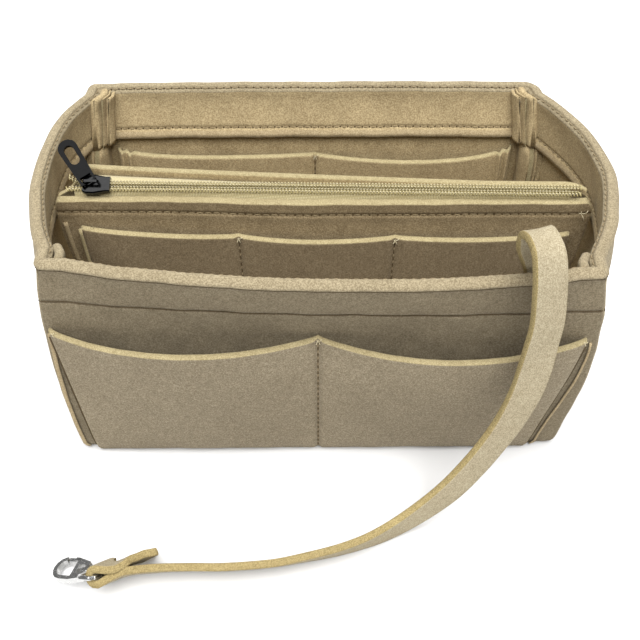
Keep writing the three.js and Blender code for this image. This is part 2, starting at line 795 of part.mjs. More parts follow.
function ovalOutline(lowEnd, highEnd, lowHalf, highHalf, roundEnds) {
  const list = [];
  const highCentre = highEnd - highHalf;
  for (let i = 0; i <= arcSteps * 2; i += 1) {
    const angle = Math.PI * i / (arcSteps * 2);
    list.push(new THREE.Vector2(highHalf * Math.cos(angle), highCentre + highHalf * Math.sin(angle)));
  }
  if (roundEnds) {
    const lowCentre = lowEnd + lowHalf;
    for (let i = 0; i <= arcSteps * 2; i += 1) {
      const angle = Math.PI + Math.PI * i / (arcSteps * 2);
      list.push(new THREE.Vector2(lowHalf * Math.cos(angle), lowCentre + lowHalf * Math.sin(angle)));
    }
    return list;
  }
  list.push(new THREE.Vector2(-lowHalf, lowEnd), new THREE.Vector2(lowHalf, lowEnd));
  return list;
}

function pullTab() {
  const half = pullThickness / 2;
  const outline = ovalOutline(-pullBarRadius, pullLength, pullRootHalf, pullTipHalf, false);
  const plate = pullPrism(outline, -half, half);
  const eye = [
    new THREE.Vector2(pullEyeHalf, pullBarRadius), new THREE.Vector2(pullEyeHalf, pullEyeReach),
    new THREE.Vector2(-pullEyeHalf, pullEyeReach), new THREE.Vector2(-pullEyeHalf, pullBarRadius),
  ];
  const trim = [
    new THREE.Vector2(pullEyeHalf, -pullLength), new THREE.Vector2(pullEyeHalf, pullBarRadius * 2),
    new THREE.Vector2(-pullEyeHalf, pullBarRadius * 2), new THREE.Vector2(-pullEyeHalf, -pullLength),
  ];
  const window = ovalOutline(pullWindowStart, pullWindowEnd, pullWindowHalf, pullWindowHalf, true);
  return cut(plate,
    pullPrism(eye, -pullThickness, pullThickness),
    pullPrism(window, -pullThickness, pullThickness),
    pullPrism(trim, pullBarRadius, pullThickness),
    pullPrism(trim, -pullThickness, -pullBarRadius));
}

// Leash strap: hand-chosen route, each point with the direction of the strap's width
const strapRoute = [
  [94, -69.6, 104, -1, 0, 0],
  [95, -69.5, 111, -1, 0, 0],
  [94.8, -69.9, 118.5, -0.96, -0.25, -0.12],
  [92.1, -71.2, 126.8, -0.9, -0.38, -0.2],
  [89, -72.9, 134, -0.86, -0.48, -0.16],
  [86.6, -75, 140.8, -0.88, -0.48, -0.02],
  [86.6, -78.5, 146.8, -0.89, -0.42, 0.16],
  [87.7, -83.6, 148.2, -0.9, -0.37, 0.24],
  [89.1, -88.7, 146.2, -0.9, -0.38, 0.22],
  [90.5, -92.8, 138.4, -0.91, -0.37, 0.16],
  [91.7, -95.3, 127, -0.93, -0.36, 0.1],
  [92.5, -97.1, 115.1, -0.94, -0.32, 0.08],
  [91.9, -98.3, 103, -0.96, -0.26, 0.1],
  [91, -99.7, 91, -0.98, -0.16, 0.15],
  [89.2, -101.3, 77.9, -0.96, -0.14, 0.25],
  [84.4, -103.8, 62, -0.9, -0.2, 0.39],
  [78.2, -106.7, 49.4, -0.81, -0.23, 0.53],
  [70.3, -110.3, 36.9, -0.72, -0.19, 0.67],
  [59.9, -114.7, 24.2, -0.59, -0.15, 0.79],
  [47.6, -119.2, 14.4, -0.42, -0.19, 0.89],
  [33.6, -125.2, 8.8, -0.23, -0.26, 0.94],
  [20.4, -131.4, 8.2, -0.07, -0.35, 0.93],
  [7.4, -135.9, 8.1, 0.02, -0.4, 0.92],
  [-6.6, -139.2, 8, 0.06, -0.45, 0.89],
  [-20.9, -142, 7.9, 0.08, -0.49, 0.87],
  [-43.8, -143.8, 7.9, 0.09, -0.49, 0.86],
  [-59.8, -143.7, 8, 0.1, -0.51, 0.86],
  [-74.3, -144.8, 8.9, 0.11, -0.46, 0.88],
  [-87.7, -147.2, 10, -0, -0.49, 0.87],
];

const hookAlong = new THREE.Vector3(...hookAxis).normalize();
const ringPlace = new THREE.Vector3(...ringCentre);
const ringBar = new THREE.Vector3(0, -0.7, 0.71);
ringBar.addScaledVector(hookAlong, -ringBar.dot(hookAlong)).normalize();
const ringFace = new THREE.Vector3().crossVectors(ringBar, hookAlong);

function ringPoint(along, bar, face) {
  return ringPlace.clone().addScaledVector(hookAlong, along)
    .addScaledVector(ringBar, bar).addScaledVector(ringFace, face);
}

// The strap's end goes round the ring's far bar and comes back as a short tail
const foldRadius = ringWire + foldClear + feltThickness / 2;
const barAlong = -ringReach / 2;

function foldRoute() {
  const list = [];
  for (let i = 0; i <= 6; i += 1) {
    const angle = Math.PI * i / 6;
    list.push(ringPoint(barAlong + foldRadius * Math.sin(angle), 0, foldRadius * Math.cos(angle)));
  }
  return list;
}

const tailRoute = [
  [-91.5, -145.9, 13.3, -0.35, -0.66, 0.66],
  [-86.3, -142.1, 10.8, -0.02, -0.52, 0.85],
  [-80.2, -138.8, 9.3, 0.3, -0.33, 0.89],
  [-74.7, -136.4, 9.2, 0.5, -0.34, 0.8],
];

function strapFrames() {
  const knots = strapRoute.map((row) => ({
    at: new THREE.Vector3(row[0], row[1], row[2]),
    width: new THREE.Vector3(row[3], row[4], row[5]).normalize(),
  }));
  for (const at of foldRoute()) {
    knots.push({ at, width: ringBar.clone() });
  }
  for (const [x, y, z, ...turn] of tailRoute) {
    knots.push({ at: new THREE.Vector3(x, y, z), width: new THREE.Vector3(...turn).normalize() });
  }
  const curve = new THREE.CatmullRomCurve3(knots.map((knot) => knot.at), false, "centripetal");
  const frames = [];
  const spans = knots.length - 1;
  for (let i = 0; i < spans; i += 1) {
    const length = knots[i].at.distanceTo(knots[i + 1].at);
    const steps = Math.max(1, Math.round(length / strapStep));
    for (let k = 0; k < steps; k += 1) {
      frames.push((i + k / steps) / spans);
    }
  }
  frames.push(1);
  return frames.map((share) => {
    const at = curve.getPoint(share);
    const tangent = curve.getTangent(share);
    const spot = share * spans;
    const first = Math.min(spans - 1, Math.floor(spot));
    const width = knots[first].width.clone().lerp(knots[first + 1].width, spot - first);
    width.addScaledVector(tangent, -width.dot(tangent)).normalize();
    const face = new THREE.Vector3().crossVectors(width, tangent).normalize();
    return { at, across: width, up: face };
  });
}

function rodBetween(from, to, radius, steps = roundSteps / 2) {
  const direction = to.clone().sub(from);
  const length = direction.length();
  const geometry = new THREE.CylinderGeometry(radius, radius, length, steps);
  const turn = new THREE.Quaternion().setFromUnitVectors(new THREE.Vector3(0, 1, 0), direction.normalize());
  geometry.applyQuaternion(turn);
  const middle = from.clone().add(to).multiplyScalar(0.5);
  geometry.translate(middle.x, middle.y, middle.z);
  return geometry;
}

function swivelEye() {
  const far = -ringReach / 2;
  const near = ringReach / 2;
  const side = ringInnerHalf + ringWire;
  const corner = ringWire * 1.5;
  const path = [
    ringPoint(near, 0, 0), ringPoint(near, side - corner, 0), ringPoint(near - corner, side, 0),
    ringPoint(far + corner, side, 0), ringPoint(far, side - corner, 0),
    ringPoint(far, corner - side, 0), ringPoint(far + corner, -side, 0),
    ringPoint(near - corner, -side, 0), ringPoint(near, corner - side, 0), ringPoint(near, 0, 0),
  ];
  const pieces = [];
  for (let i = 0; i < path.length - 1; i += 1) {
    pieces.push(rodBetween(path[i], path[i + 1], ringWire));
    const ball = new THREE.SphereGeometry(ringWire, 8, 6);
    ball.translate(path[i].x, path[i].y, path[i].z);
    pieces.push(ball);
  }
  const head = near + stemLength;
  pieces.push(rodBetween(ringPoint(near, 0, 0), ringPoint(head, 0, 0), stemRadius));
  const cap = ringPoint(head + stemHeadLength, 0, 0);
  pieces.push(rodBetween(ringPoint(head, 0, 0), cap, stemHeadRadius, roundSteps));
  return joined(pieces[0], ...pieces.slice(1));
}

// Hook body: flat frame with a swivel window and a mouth closed by the gate
const hookUp = new THREE.Vector3(...hookNormal);
hookUp.addScaledVector(hookAlong, -hookUp.dot(hookAlong)).normalize();
const hookAcross = new THREE.Vector3().crossVectors(hookUp, hookAlong);

function hookPoint(along, across, up) {
  return ringPlace.clone().addScaledVector(hookAlong, along)
    .addScaledVector(hookAcross, across).addScaledVector(hookUp, up);
}

function hookPrism(outline, low, high) {
  const frames = [low, high].map((lift) => ({
    at: hookPoint(0, 0, lift), across: hookAlong, up: hookAcross,
  }));
  return sweep(frames, outline.map(([x, y]) => new THREE.Vector2(x, y)));
}

function noseOutline(start, straight, half, end) {
  const list = [[start, -half], [start, half]];
  const reach = end - straight;
  for (let i = 0; i <= 8; i += 1) {
    const angle = Math.PI / 2 - Math.PI * i / 8;
    list.push([straight + reach * Math.cos(angle), half * Math.sin(angle)]);
  }
  return list;
}

const hookEnd = hookStart + hookLength;
const hookNoseRadius = hookHalfWidth * 0.9;
const mouthStart = hookStart + hookEndWall + hookCageLength + hookCrossbar;
const gateSide = -1;

function hookBody() {
  const half = hookThickness / 2;
  const start = [[hookStart, -hookCageHalf], [hookStart, hookCageHalf], [mouthStart, hookHalfWidth]];
  const nose = noseOutline(hookStart, hookEnd - hookNoseRadius, hookHalfWidth, hookEnd).slice(2);
  const plate = hookPrism([...start, ...nose, [mouthStart, -hookHalfWidth]], -half, half);
  const cage = [
    [hookStart + hookEndWall, -hookCageHalf + hookFrame], [hookStart + hookEndWall, hookCageHalf - hookFrame],
    [hookStart + hookEndWall + hookCageLength, hookCageHalf - hookFrame],
    [hookStart + hookEndWall + hookCageLength, -hookCageHalf + hookFrame],
  ];
  const mouth = noseOutline(mouthStart, hookEnd - hookNoseRadius,
    hookHalfWidth - hookFrame, hookEnd - hookFrame);
  const open = gateSide * (hookHalfWidth + hookFrame);
  const shut = gateSide * (hookHalfWidth - hookFrame - gap);
  const box = (from, to) => [[from, shut], [to, shut], [to, open], [from, open]];
  const slot = hookGateThickness / 2 + gap;
  const boreStart = hookPoint(hookStart - hookEndWall, 0, 0);
  const boreEnd = hookPoint(hookStart + 2 * hookEndWall, 0, 0);
  const bore = rodBetween(boreStart, boreEnd, stemRadius + gap, roundSteps);
  return cut(plate,
    hookPrism(cage, -hookThickness, hookThickness),
    hookPrism(mouth, -hookThickness, hookThickness),
    hookPrism(box(mouthStart + hookGateSlot, hookGateTip + gap), -hookThickness, hookThickness),
    hookPrism(box(mouthStart - hookGateSlot, mouthStart + hookGateSlot * 2), -slot, slot),
    rodBetween(gatePivot(-hookThickness), gatePivot(hookThickness), hookPinRadius + gap),
    bore);
}

function gatePivot(up) {
  return hookPoint(mouthStart, gateSide * (hookHalfWidth - hookFrame / 2), up);
}

function hookGate() {
  const outer = gateSide * hookHalfWidth;
  const inner = gateSide * (hookHalfWidth - hookFrame);
  const root = mouthStart - hookGateRoot;
  const bevel = hookFrame / 4;
  const outline = [
    [root, inner + gateSide * bevel], [root + bevel, inner], [hookGateTip, inner],
    [hookGateTip, outer], [root + bevel, outer], [root, outer - gateSide * bevel],
  ];
  const half = hookGateThickness / 2;
  return cut(hookPrism(outline, -half, half),
    rodBetween(gatePivot(-hookThickness), gatePivot(hookThickness), hookPinRadius + gap));
}

function gatePin() {
  return rodBetween(gatePivot(-hookThickness / 2), gatePivot(hookThickness / 2), hookPinRadius);
}

addNode("front_wall_panel", longWall(-1), feltColour, feltRoughness, 0);
addNode("back_wall_panel", longWall(1), feltColour, feltRoughness, 0);
addNode("left_end_wall", endWall(-1), feltColour, feltRoughness, 0);
addNode("right_end_wall", endWall(1), feltColour, feltRoughness, 0);
addNode("base_panel", basePanel(), feltColour, feltRoughness, 0);
addNode("front_left_corner_seam", cornerSeam(-1, -1), feltColour, feltRoughness, 0);
addNode("front_right_corner_seam", cornerSeam(1, -1), feltColour, feltRoughness, 0);
addNode("back_left_corner_seam", cornerSeam(-1, 1), feltColour, feltRoughness, 0);
addNode("back_right_corner_seam", cornerSeam(1, 1), feltColour, feltRoughness, 0);
addNode("front_outer_pocket", outerPocket(-1), feltColour, feltRoughness, 0);
addNode("back_outer_pocket", outerPocket(1), feltColour, feltRoughness, 0);
addNode("back_inner_pocket", innerPocket(), feltColour, feltRoughness, 0);
addNode("pouch_front_panel", pouchFrontPanel(), feltColour, feltRoughness, 0);
addNode("pouch_rear_panel", pouchRearPanel(), feltColour, feltRoughness, 0);
addNode("pouch_bottom_strip", pouchBottomStrip(), feltColour, feltRoughness, 0);
addNode("pouch_slot_pocket", pouchPocketPanel(), feltColour, feltRoughness, 0);
addNode("zip_tape_front", tapeHalf(-1), tapeColour, tapeRoughness, 0);
addNode("zip_tape_rear", tapeHalf(1), tapeColour, tapeRoughness, 0);
addNode("zip_coil_front", coilRow(-1), coilColour, coilRoughness, 0);
addNode("zip_coil_rear", coilRow(1), coilColour, coilRoughness, 0);
addNode("zip_slider_crown", sliderCrownShell(), nickelColour, metalRoughness, 1);
addNode("zip_slider_sole", zipBox(-sliderRear, sliderFront, -sliderBaseHalf, sliderBaseHalf,
  -sliderBaseDepth - sliderBaseThickness, -sliderBaseDepth), nickelColour, metalRoughness, 1);
addNode("zip_slider_bridge", sliderBridge(), nickelColour, metalRoughness, 1);
addNode("zip_pull_tab", pullTab(), darkNickelColour, metalRoughness, 1);
const strapOutline = roundedOutline(strapWidth / 2, feltThickness / 2, feltThickness / 6);
addNode("leash_strap", sweep(strapFrames(), strapOutline), rawFeltColour, feltRoughness, 0);
addNode("snap_hook_swivel_eye", swivelEye(), nickelColour, metalRoughness, 1);
addNode("snap_hook_body", hookBody(), nickelColour, metalRoughness, 1);
addNode("snap_hook_gate", hookGate(), nickelColour, metalRoughness, 1);
addNode("snap_hook_gate_pin", gatePin(), nickelColour, metalRoughness, 1);

export default group;
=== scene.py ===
# Looks of the purse organizer insert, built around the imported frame, in metres
import math

import bmesh
import bpy
import numpy as np
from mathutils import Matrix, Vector


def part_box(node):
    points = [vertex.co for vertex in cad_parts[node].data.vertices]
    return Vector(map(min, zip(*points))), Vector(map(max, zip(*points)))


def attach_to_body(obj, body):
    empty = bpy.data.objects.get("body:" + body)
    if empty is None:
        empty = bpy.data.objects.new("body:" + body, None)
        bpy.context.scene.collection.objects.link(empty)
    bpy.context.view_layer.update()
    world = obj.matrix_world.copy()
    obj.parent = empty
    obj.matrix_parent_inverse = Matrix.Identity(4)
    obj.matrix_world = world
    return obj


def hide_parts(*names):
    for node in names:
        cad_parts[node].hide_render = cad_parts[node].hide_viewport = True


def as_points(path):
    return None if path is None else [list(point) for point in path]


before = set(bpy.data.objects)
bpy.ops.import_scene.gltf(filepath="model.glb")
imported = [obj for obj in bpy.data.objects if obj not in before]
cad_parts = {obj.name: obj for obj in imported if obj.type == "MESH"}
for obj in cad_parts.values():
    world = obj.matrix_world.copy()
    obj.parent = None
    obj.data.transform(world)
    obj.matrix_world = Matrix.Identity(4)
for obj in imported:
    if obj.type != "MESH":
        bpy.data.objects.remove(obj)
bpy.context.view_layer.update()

# Camera, matched to the photograph's 640 by 640 frame
IMAGE_SIDE = 640
FOCAL_PIXELS = 895
SENSOR_WIDTH = 36
CAMERA_PLACE = (-0.00192, -0.3552, 0.3696)
CAMERA_PITCH = 44.3
CAMERA_YAW = 0.5
CAMERA_REACH = (0.01, 50)

# Felt box
FELT = 0.0035
GAP = 0.0003
HEIGHT = 0.125
LEFT_FRONT_X = -0.120
RIGHT_FRONT_X = 0.121
LEFT_BACK_X = -0.1225
RIGHT_BACK_X = 0.1195
FRONT_Y = -0.070
FRONT_SKEW = 0.008
FRONT_SKEW_HEIGHT = 0.080
BACK_Y = 0.072
BACK_FLARE = 0.0085
BACK_FLARE_START = 0.085
SIDE_SWELL = 0.0045
CORNER_RADIUS = 0.010
FOOT_INSET = 0.0025
FOOT_HEIGHT = 0.006
FACING_EDGE = 0.0975
FACING_STITCH = 0.1025
FRONT_FACING_STITCH = 0.1033
RIM_OUTER_STITCH = 0.1212
RIM_INNER_STITCH = 0.1235
FRONT_BULGE = 0.011
FRONT_BULGE_START = 0.085
FRONT_BELLY = 0.0015
BACK_BULGE = 0.0015
LEFT_BULGE = 0.014
RIGHT_BULGE = 0.021
END_BULGE_LOW_SHARE = 0.1
END_BULGE_POWER = 0.55
LEFT_PEAK_SHARE = 0.53
RIGHT_PEAK_SHARE = 0.52
LEFT_BULGE_POWERS = (2.3, 2.8)
RIGHT_BULGE_POWERS = (2, 2)
CORNER_START_SHARE = 0.01
CORNER_FILLET = 0.0042
CORNER_FILLET_LOW = 0.0022
BACK_RIGHT_FILLET = 0.0085
CORNER_STEPS = 9
LONG_COLUMNS = 200
END_COLUMNS = 110
ROW_STEP = 0.0022
WALL_FOOT = 0.0001
WALL_START = 0.0006
WALL_FOOT_SHARES = (0.85, 0.15)
RIM_STEPS = 28
RIM_GROOVE = 0.0009
RIM_SET_BACK = 0.012
RIM_PUFF = 0.0003
RIM_PUFF_SPREAD = 0.002
RIM_MIDDLE_SHARE = 0.1
GROOVE_WIDTH = 0.0009
FACING_GROOVE = 0.00055
FACING_START = 0.0005
FACING_LIP = 0.0009
FACING_LIP_DROP = 0.0014
FACING_CUT_SHARES = (0.8, 0.5, 0.2)
FACING_CUT_DROP = 0.0004
FACING_CUT_SOFTNESS = 0.0002
LINING_START = 0.0008
SEAM_CREASE = 0.0004
SEAM_CREASE_COLUMNS = 2
# Radius of the dark tubes of painted shade along the sewn creases
CREASE_WIDTH = 0.00024
CREASE_END_COLUMNS = 2
STITCH_END_COLUMNS = 6
BASE_SOFTNESS = 0.0003
BASE_ROWS = 36
BASE_COLUMNS = 60
BASE_WAVER = 0.6
BASE_WAVER_LEVEL = 0.02
BASE_SINK = 0.0002

# Soft felt: its slow unevenness, and the round of its cut edges
WAVER_HEIGHT = 0.00022
WAVER_START = 0.01
EDGE_SHARES = (0, 0.08, 0.28, 0.5, 0.72, 0.92, 1)
EDGE_SWELL = 0.0006

# Corner seams
FLANGE_REACH = 0.018
FLANGE_FRONT_REACH = 0.015
FLANGE_GAP = 0.0005
FLANGE_LEVELS = 16
FLANGE_ROUND_STEPS = 9
FLANGE_ROOT = 0.001
FLANGE_TIP = 0.001
FLANGE_TIP_ROUND = 0.0004
FLANGE_TIP_SHRINK = 0.0006
FLANGE_WAVER = 1.2
HEM_GAP = 0.0003
PLY_STANDOFF = 0.0008
PLY_GAP = 0.0004
PLY_STEP = 0.0006
PLY_FOOT = 0.0045
PLY_TOP_CLEAR = 0.0002
# Each folded hem: width, how much shorter, how far its top lies below the rim, and whether its tip is raw
BACK_HEMS = (
    (0.0044, 0, 0.0008, False),
    (0.001, 0.002, 0.0016, True),
    (0.002, 0.004, 0.0024, False),
)
FRONT_HEMS = (
    (0.0044, 0, 0.0008, False),
    (0.0012, 0.001, 0.011, True),
)

# Pockets
POCKET_CLEAR = 0.0007
POCKET_COLUMNS = 130
POCKET_SEAM_SHARE = 0.015
POCKET_SEAM_COLUMNS = 13
POCKET_COLUMN_GAP_SHARE = 0.0012
POCKET_LIP_ROW_SHARES = (0.96, 0.98, 0.99, 1)
POCKET_LIP_SHARE = 0.94
POCKET_FILL_POWER = 0.8
POCKET_WAVER = 0.6
OUTER_POCKET_FOOT_SHARE = 0.12
OUTER_POCKET_FOOT_ROWS = 22
OUTER_POCKET_ROWS = 36
OUTER_POCKET_SAG_POWER = 0.74
OUTER_POCKET_OPEN_POWER = 0.9
INNER_POCKET_ROWS = 34
INNER_POCKET_OPEN_POWER = 0.7
INNER_POCKET_LEFT_SHARE = 0.5
SLOT_ROWS = 40
PINCH = 0.0012
PINCH_WIDTH_SHARE = 0.006
OUTER_POCKET_TOP = 0.088
OUTER_POCKET_SAG = 0.005
OUTER_POCKET_STANDOFF = 0.0095
BACK_POCKET_STANDOFF = 0.0092
OUTER_POCKET_BOTTOM = 0.0009
OUTER_POCKET_DIVIDER = -0.0004
OUTER_POCKET_LEFT_TOP = -0.1196
OUTER_POCKET_LEFT_BASE = -0.1115
OUTER_POCKET_RIGHT_TOP = 0.1174
OUTER_POCKET_RIGHT_BASE = 0.1045
OUTER_POCKET_SET_BACK = 0.0014
OUTER_POCKET_SET_BACK_HEIGHT = 0.009
OUTER_POCKET_SEAM = 0.0031
OUTER_POCKET_SEAM_GROOVE = 0.0009
OUTER_POCKET_SEAM_WIDTH = 0.0006
OUTER_POCKET_KNOT_SHARES = (0.004, 0.996)
OUTER_POCKET_KNOT_PLACE = np.array([0, -0.0012, 0.0004])
OUTER_POCKET_KNOT_LENGTH = 0.0018
INNER_POCKET_TOP = 0.0868
INNER_POCKET_END_RISE = 0.0045
INNER_POCKET_SAG = 0.0018
INNER_POCKET_STANDOFF = 0.0058
INNER_POCKET_LEFT = -0.1095
INNER_POCKET_RIGHT = 0.1075
PLEAT_WIDTH = 0.0042
PLEAT_HEIGHT = 0.0026
PLEAT_SHARE = 0.042
PLEAT_COLUMNS = 26

# Raw seam edges at the front corners: inset low and high, width
LEFT_SEAM_EDGE = (0.0014, 0.003, 0.002)
RIGHT_SEAM_EDGE = (0.0115, 0.004, 0.0012)
SEAM_EDGE_HEIGHT = 0.0011
# Dark lines of painted shade in the gaps at the outer pocket's ends
POCKET_GAP_WIDTH = 0.0018
POCKET_GAP_HEIGHT = 0.0003
POCKET_GAP_DEPTH = 0.0014
POCKET_GAP_SHIFT = 0.001
POCKET_GAP_ROW_SHARES = (0.02, 0.95)
SEAM_EDGE_POINTS = 50
SEAM_EDGE_FOOT = 0.002
SEAM_EDGE_DROP = 0.004
SEAM_EDGE_LIFT = 0.0002

# Zipped pouch
POUCH_BOTTOM = 0.0038
POUCH_FRONT_TOP = 0.111
POUCH_REAR_TOP_LEFT = 0.118
POUCH_REAR_TOP_RIGHT = 0.114
POUCH_LEFT_X = -0.112
POUCH_RIGHT_X = 0.116
POUCH_LEFT_FLARE = 0.014
POUCH_RIGHT_FLARE = 0.0155
POUCH_CORNER_RADIUS = 0.005
POUCH_FRONT_Y = -0.008
POUCH_FRONT_SHIFT = 0.0036
POUCH_FRONT_SHIFT_START = -0.090
POUCH_BELLY = 0.003
POUCH_REAR_BASE_Y = 0.009
POUCH_REAR_LEFT_Y = 0.0131
POUCH_REAR_RIGHT_Y = 0.002
POUCH_REAR_BEND_X = -0.112
POUCH_REAR_FALL_RUN = 0.0085
POUCH_REAR_STRAIGHT_X = 0.082
POUCH_LEFT_SEAM_Y = -0.0004
POUCH_RIGHT_SEAM_Y = -0.0022
POUCH_LEFT_WRAP = 0.0125
POUCH_RIGHT_WRAP = 0.009
POUCH_BOTTOM_WRAPS = 1.4
POUCH_BOTTOM_ROWS = 8
POUCH_BOTTOM_COLUMNS = 60
SLOT_LEFT = -0.1143
SLOT_RIGHT = 0.1217
SLOT_NARROW = 0.008
SLOT_TOP = 0.0936
SLOT_LEFT_RISE = 0.004
SLOT_RIGHT_RISE = 0.0018
SLOT_SAG = 0.0004
SLOT_STANDOFF = 0.0028
SLOT_DIVIDER_LEFT = -0.0386
SLOT_DIVIDER_RIGHT = 0.0376
SLOT_PINCH = 0.001
SLOT_SHARES = (1 / 3, 2 / 3)
SLOT_FILL_POWER = 0.7
SLOT_OPEN_POWER = 0.35
POUCH_STITCH_DROP = 0.0062
POUCH_STITCH_GROOVE = 0.0007
POUCH_STITCH_INSET = 0.003
POUCH_REAR_STITCH_DROP = 0.0035
POUCH_REAR_STITCH_GROOVE = 0.0006
POUCH_REAR_STITCH_X = 0.118
POUCH_STITCH_POINTS = 160
POUCH_WAVER = 0.8
RAW_EDGE_SPREAD = 0.0014
RAW_EDGE_HEIGHT = 0.006
# Each pleat at the slot pocket's left end: how far right, and how far back
SLOT_PLEATS = ((-0.0008, 0), (0.0046, 0.0012))
SLOT_PLEAT_WIDTH = 0.0016
SLOT_PLEAT_HEIGHT = 0.0012
POUCH_SEAM_EDGE_INSET = 0.0026
POUCH_SEAM_EDGE_WIDTH = 0.0022
POUCH_SEAM_EDGE_HEIGHT = 0.0009
POUCH_SEAM_EDGE_DROP = 0.012
LOOSE_THREAD_LENGTH = 0.004
LOOSE_THREAD_PLACE = (-0.005, -0.0006, 0.0012)

# Zip
ZIP_START_X = -0.1205
TAPE_START_X = -0.117
TAPE_END_X = 0.121
ZIP_END_X = 0.126
ZIP_HOME = (-0.105, -0.0012, 0.115)
ZIP_SLOPE = 0.0275
ZIP_TILT = 32
COIL_WIDTH = 0.0029
COIL_HEIGHT = 0.0018
COIL_SPLIT = 0.00015
COIL_LIFT = -0.0002
COIL_OPEN_REAR = 0.0042
COIL_OPEN_FRONT = 0.0005
COIL_OPEN_RUN = 0.012
COIL_PITCH = 0.00155
COIL_WIRE = 0.00034
COIL_TURN_STEPS = 12
COIL_LEAN = 0.0003
COIL_THREAD = 0.0002
COIL_SEAM_SHARES = (0.35, -0.75)
TAPE_THICKNESS = 0.0008
TAPE_DROP = 0.0009
TAPE_RUN = 0.0022
TAPE_SEW_DEPTH = 0.003
TAPE_CLEAR = 0.0004
TAPE_SEW_CLEAR = 0.001
SLIDER_REAR = 0.0073

# Leash strap and snap hook
STRAP_WIDTH = 0.0155
STRAP_STEP = 0.0016
STRAP_COLUMNS = 15
STRAP_CROWN = 0.00012
STRAP_EDGE_SWELL = 0.0005
RING_WIRE = 0.0011
FOLD_CLEAR = 0.00045
RING_REACH = 0.0074
RING_CENTRE = (-0.0996, -0.1468, 0.0095)
RING_BAR = (0, -0.7, 0.71)
HOOK_AXIS = (-0.935, 0.235, -0.265)

# Stitching
STITCH_PITCH = 0.004
STITCH_SHARE = 0.74
THREAD = 0.00026
THREAD_SIDES = 6
THREAD_BENDS = 7
THREAD_ARCH_POWER = 0.6
THREAD_ARCH = 2.2
THREAD_SUNK_SHARE = 0.75
THREAD_TIP_SHARE = 0.55
HOLE_RADIUS = 0.00052
# Each ring of a needle hole's dark disc of painted shade: radius and height in hole radii
HOLE_RING_SHARES = ((1, -0.3), (0.75, 0.35))
# Radius of the dark painted-shade tube along each pocket divider
DIVIDER_CREASE = 0.0003
DIVIDER_ROW_SHARES = (0.02, 0.985)
DIVIDER_POINTS = 40
DIVIDER_CREASE_LIFT = 0.0001
DIVIDER_STITCH_LIFT = 0.0002
KNOT_LIFT = 0.0006
TUFT_LENGTH = 0.0024
TUFT_THREAD = 0.00016
TUFT_SIDES = 5
TUFT_POINTS = 7
TUFT_TURN = 2.4
TUFT_FIRST_TURN = 0.7
TUFT_SHORT_SHARE = 0.6
TUFT_CURL = 0.35
TUFT_RISE = 0.55

# Felt's textures, each with scale, detail and roughness, and how far each darkens the felt
PATCHES = (45, 3, 0.5)
NAP = (420, 2, 0.5)
FIBRE_DETAIL = (4, 0.65)
FIBRE_BAND = (0.41, 0.61)
PATCH_BAND = (0.3, 0.7)
NAP_BAND = (0.32, 0.68)
PATCH_SHADE = (0.9, 0.89, 0.88, 1)
NAP_SHADE = (0.87, 0.86, 0.84, 1)
NAP_DEPTH = 0.0004
FIBRE_DEPTH = 0.0003

# Light
KEY_FROM = (0, -0.4, 1.25)
KEY_STRENGTH = 6.9
KEY_SOFTNESS = 66
FILL_FROM = (0, 1.5, 0.8)
FILL_AT = (0, 0, 0.05)
FILL_SIZE = (1.4, 0.9)
FILL_POWER = 10
WORLD_STRENGTH = 0.22
FLOOR_HALF = 3

# Strap route: each point with the direction of the strap's width
STRAP_ROUTE = [
    (0.094, -0.0696, 0.104, -1, 0, 0),
    (0.095, -0.0695, 0.111, -1, 0, 0),
    (0.0948, -0.0699, 0.1185, -0.96, -0.25, -0.12),
    (0.0921, -0.0712, 0.1268, -0.9, -0.38, -0.2),
    (0.089, -0.0729, 0.134, -0.86, -0.48, -0.16),
    (0.0866, -0.075, 0.1408, -0.88, -0.48, -0.02),
    (0.0866, -0.0785, 0.1468, -0.89, -0.42, 0.16),
    (0.0877, -0.0836, 0.1482, -0.9, -0.37, 0.24),
    (0.0891, -0.0887, 0.1462, -0.9, -0.38, 0.22),
    (0.0905, -0.0928, 0.1384, -0.91, -0.37, 0.16),
    (0.0917, -0.0953, 0.127, -0.93, -0.36, 0.1),
    (0.0925, -0.0971, 0.1151, -0.94, -0.32, 0.08),
    (0.0919, -0.0983, 0.103, -0.96, -0.26, 0.1),
    (0.091, -0.0997, 0.091, -0.98, -0.16, 0.15),
    (0.0892, -0.1013, 0.0779, -0.96, -0.14, 0.25),
    (0.0844, -0.1038, 0.062, -0.9, -0.2, 0.39),
    (0.0782, -0.1067, 0.0494, -0.81, -0.23, 0.53),
    (0.0703, -0.1103, 0.0369, -0.72, -0.19, 0.67),
    (0.0599, -0.1147, 0.0242, -0.59, -0.15, 0.79),
    (0.0476, -0.1192, 0.0144, -0.42, -0.19, 0.89),
    (0.0336, -0.1252, 0.0088, -0.23, -0.26, 0.94),
    (0.0204, -0.1314, 0.0082, -0.07, -0.35, 0.93),
    (0.0074, -0.1359, 0.0081, 0.02, -0.4, 0.92),
    (-0.0066, -0.1392, 0.008, 0.06, -0.45, 0.89),
    (-0.0209, -0.142, 0.0079, 0.08, -0.49, 0.87),
    (-0.0438, -0.1438, 0.0079, 0.09, -0.49, 0.86),
    (-0.0598, -0.1437, 0.008, 0.1, -0.51, 0.86),
    (-0.0743, -0.1448, 0.0089, 0.11, -0.46, 0.88),
    (-0.0877, -0.1472, 0.01, 0, -0.49, 0.87),
]
TAIL_ROUTE = [
    (-0.0915, -0.1459, 0.0133, -0.35, -0.66, 0.66),
    (-0.0863, -0.1421, 0.0108, -0.02, -0.52, 0.85),
    (-0.0802, -0.1388, 0.0093, 0.3, -0.33, 0.89),
    (-0.0747, -0.1364, 0.0092, 0.5, -0.34, 0.8),
]
FOLD_STEPS = 6


# Small helpers
def smooth(value):
    share = np.clip(value, 0, 1)
    return share * share * (3 - 2 * share)


def mix(a, b, share):
    return a + (b - a) * share


def unit(v):
    v = np.asarray(v, float)
    return v / np.linalg.norm(v, axis=-1, keepdims=True)


